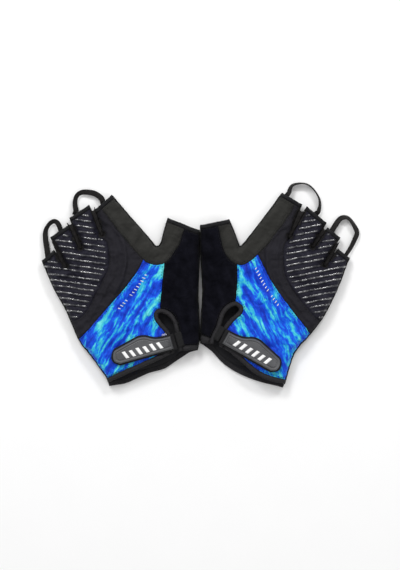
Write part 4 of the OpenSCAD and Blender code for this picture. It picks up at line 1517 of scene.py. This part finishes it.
def fold(side, gusset, seed):
    centre, axis, across, to_left, to_right, crotch, mouth = slot_sides(f"{side}_{gusset}")
    start, end = crotch + 0.6 * MM, mouth + FOLD_PAST
    rng = random.Random(seed)
    phase = rng.uniform(0, 6)
    points, faces = [], []
    for r in range(FOLD_ROWS):
        for k in range(FOLD_COLUMNS):
            u = k / (FOLD_COLUMNS - 1)
            arch = math.sin(math.pi * u)
            t = start + (end - 2.4 * MM * arch - start) * r / (FOLD_ROWS - 1)
            left, right = np.polyval(to_left, t), np.polyval(to_right, t)
            wide = max(left - right, 1.2 * MM)
            c = (left + right) / 2 + (u - 0.5) * (wide + 0.9 * MM)
            crumple = math.sin(t * 1100 + phase + u * 3) * 0.3 + math.sin(t * 520 - phase) * 0.35
            crease = math.exp(-((u - 0.5 - 0.12 * math.sin(t * 300 + phase)) / 0.11) ** 2)
            rise = arch ** 0.7 * (1.2 * MM + 0.42 * wide + crumple * 0.9 * MM) - crease * 0.9 * MM
            down = math.exp(-(end - 2.4 * MM * arch - t) / (1.6 * MM)) * 2.2 * MM * arch
            place = centre + axis * t + across * c
            points.append((place[0], place[1], SEAM_HEIGHT + 0.5 * MM + rise - down))
    for r in range(FOLD_ROWS - 1):
        for k in range(FOLD_COLUMNS - 1):
            a = r * FOLD_COLUMNS + k
            faces.append((a, a + 1, a + FOLD_COLUMNS + 1, a + FOLD_COLUMNS))
    points = np.array(points)
    faces = np.array(faces)
    if np.cross(points[1] - points[0], points[FOLD_COLUMNS] - points[0])[2] < 0:
        faces = faces[:, ::-1]
    made = piece(f"{side}_{gusset}_fold", points, faces, "gusset_mesh", f"{side}_glove", thick=0.8 * MM)
    grid = points.reshape(FOLD_ROWS, FOLD_COLUMNS, 3)
    across_it = np.linalg.norm(np.diff(grid, axis=1), axis=2).sum(1).mean()
    along_it = np.linalg.norm(np.diff(grid, axis=0), axis=2).sum(0).mean()
    rows, columns = np.mgrid[0:1:FOLD_ROWS * 1j, 0:1:FOLD_COLUMNS * 1j]
    flat = np.column_stack([columns.ravel() * across_it, rows.ravel() * along_it])
    halves = np.vstack([faces[:, [0, 1, 2]], faces[:, [0, 2, 3]]])
    declare_cloth(made, flat, halves)
    print(made.name, "from", round(start / MM, 1), "to", round(end / MM, 1), "mm")


for number, side in enumerate(SIDES):
    for gusset in GUSSETS:
        fold(side, gusset, 20 + number * 3 + len(gusset))

# %% [markdown]
# ## Small printed marks
# A row of slanted dashes runs along the seam of the printed panel, in place of words, and a few ticks sit
# beside the strap's root on the left glove. They are thin ink, laid a little above the cloth.

# %% Dashes beside a seam
def seam_between(side, one, two, inset):
    """Points of the first panel's edge that also lie on the second panel, moved into the first."""
    placed = backs[side][one][0]
    other = backs[side][two][0]
    near = tree_of(other[:, :2])
    flat = placed[:, :2]
    shared = [p for p in flat if near.find((p[0], p[1], 0))[2] < 0.4 * MM]
    shared = np.array(shared)
    centre = shared.mean(0)
    axis = np.linalg.svd(shared - centre, full_matrices=False)[2][0]
    axis = axis * np.sign(axis[1])
    order = np.argsort((shared - centre) @ axis)
    line = shared[order]
    across = np.array([-axis[1], axis[0]])
    toward = np.sign((flat.mean(0) - centre) @ across)
    return smooth_line(line) + across * toward * inset


def smooth_line(line, rounds=12):
    line = np.array(line)
    for _ in range(rounds):
        line[1:-1] = (line[:-2] + line[2:]) / 2
    return line


def ink(side, name, strokes, wide):
    """Flat strokes of ink dropped onto the back."""
    surface = drop_tree(backs[side]["points"], backs[side]["tris"])
    points, faces = [], []
    for a, b in strokes:
        along = (b - a) / np.linalg.norm(b - a)
        out = np.array([-along[1], along[0]]) * wide / 2
        steps = 5
        for k in range(steps):
            middle = a + (b - a) * k / (steps - 1)
            for place in (middle - out, middle + out):
                points.append((place[0], place[1], (drop(surface, place) or 0.014) + 0.22 * MM))
            if k:
                i = len(points) - 4
                faces.append((i, i + 2, i + 3, i + 1))
    points = np.array(points)
    made = piece(f"{side}_{name}", points, faces, "white_ink", f"{side}_glove", "bar_print", thick=0.12 * MM)
    return made


for side in SIDES:
    line = seam_between(side, "print_panel", "knit_panel", (8.2 if side == "left" else 7) * MM)
    line = even_line(line, 3.15 * MM)[::-1]
    strokes = []
    for k, (a, b) in enumerate(zip(line[3:16], line[4:17])):
        if k == 8:
            continue
        along = (b - a) / np.linalg.norm(b - a)
        out = np.array([-along[1], along[0]])
        tall = 1.25 * MM if k % 3 else 0.95 * MM
        strokes.append((a - out * tall + along * 0.35 * MM, a + out * tall - along * 0.35 * MM))
    ink(side, "seam_dashes", strokes, 0.75 * MM)
    print(side, len(strokes), "dashes")
s = straps["left"]
strokes = []
for k in range(5):
    foot = s["root"] + s["along"] * (6.6 + 0.95 * k) * MM
    up = s["across"] if s["across"][1] > 0 else -s["across"]
    strokes.append((foot + up * 6.9 * MM, foot + up * (8.4 + 0.4 * (k % 2)) * MM - s["along"] * 0.4 * MM))
ink("left", "ticks", strokes, 0.42 * MM)

# %% Floor, lamps and the end
floor_mesh = bpy.data.meshes.new("floor")
floor_mesh.from_pydata([(-3, -3, 0), (3, -3, 0), (3, 3, 0), (-3, 3, 0)], [], [(0, 1, 2, 3)])
floor = bpy.data.objects.new("floor", floor_mesh)
scene.collection.objects.link(floor)
paper = Finish("floor")
shade = paper.mix(paper.noise(40, 2.0), (0.93, 0.93, 0.93), (0.95, 0.95, 0.95))
floor_mesh.materials.append(paper.done(shade, 0.9))


def lamp(name, place, size, power, aim=(0, 0, 0), tall=None):
    data = bpy.data.lights.new(name, "AREA")
    data.shape = "RECTANGLE" if tall else "DISK"
    data.size = size
    if tall:
        data.size_y = tall
    data.energy = power
    made = bpy.data.objects.new(name, data)
    scene.collection.objects.link(made)
    made.location = place
    made.rotation_euler = (Vector(aim) - Vector(place)).to_track_quat("-Z", "Y").to_euler()


lamp("key", (-0.8, 0.9, 1.5), 1.0, 8)
lamp("fill", (0.9, -0.7, 1.6), 1.4, 5)
lamp("strip_left", (-0.45, 1.0, 1.0), 0.4, 6.5, tall=0.22)
lamp("strip_right", (0.5, 1.0, 1.0), 0.4, 6.5, tall=0.22)
world = bpy.data.worlds.new("studio")
scene.world = world
world.use_nodes = True
world.node_tree.nodes["Background"].inputs[0].default_value = (1, 1, 1, 1)
world.node_tree.nodes["Background"].inputs[1].default_value = 0.5
scene.view_settings.view_transform = "Standard"
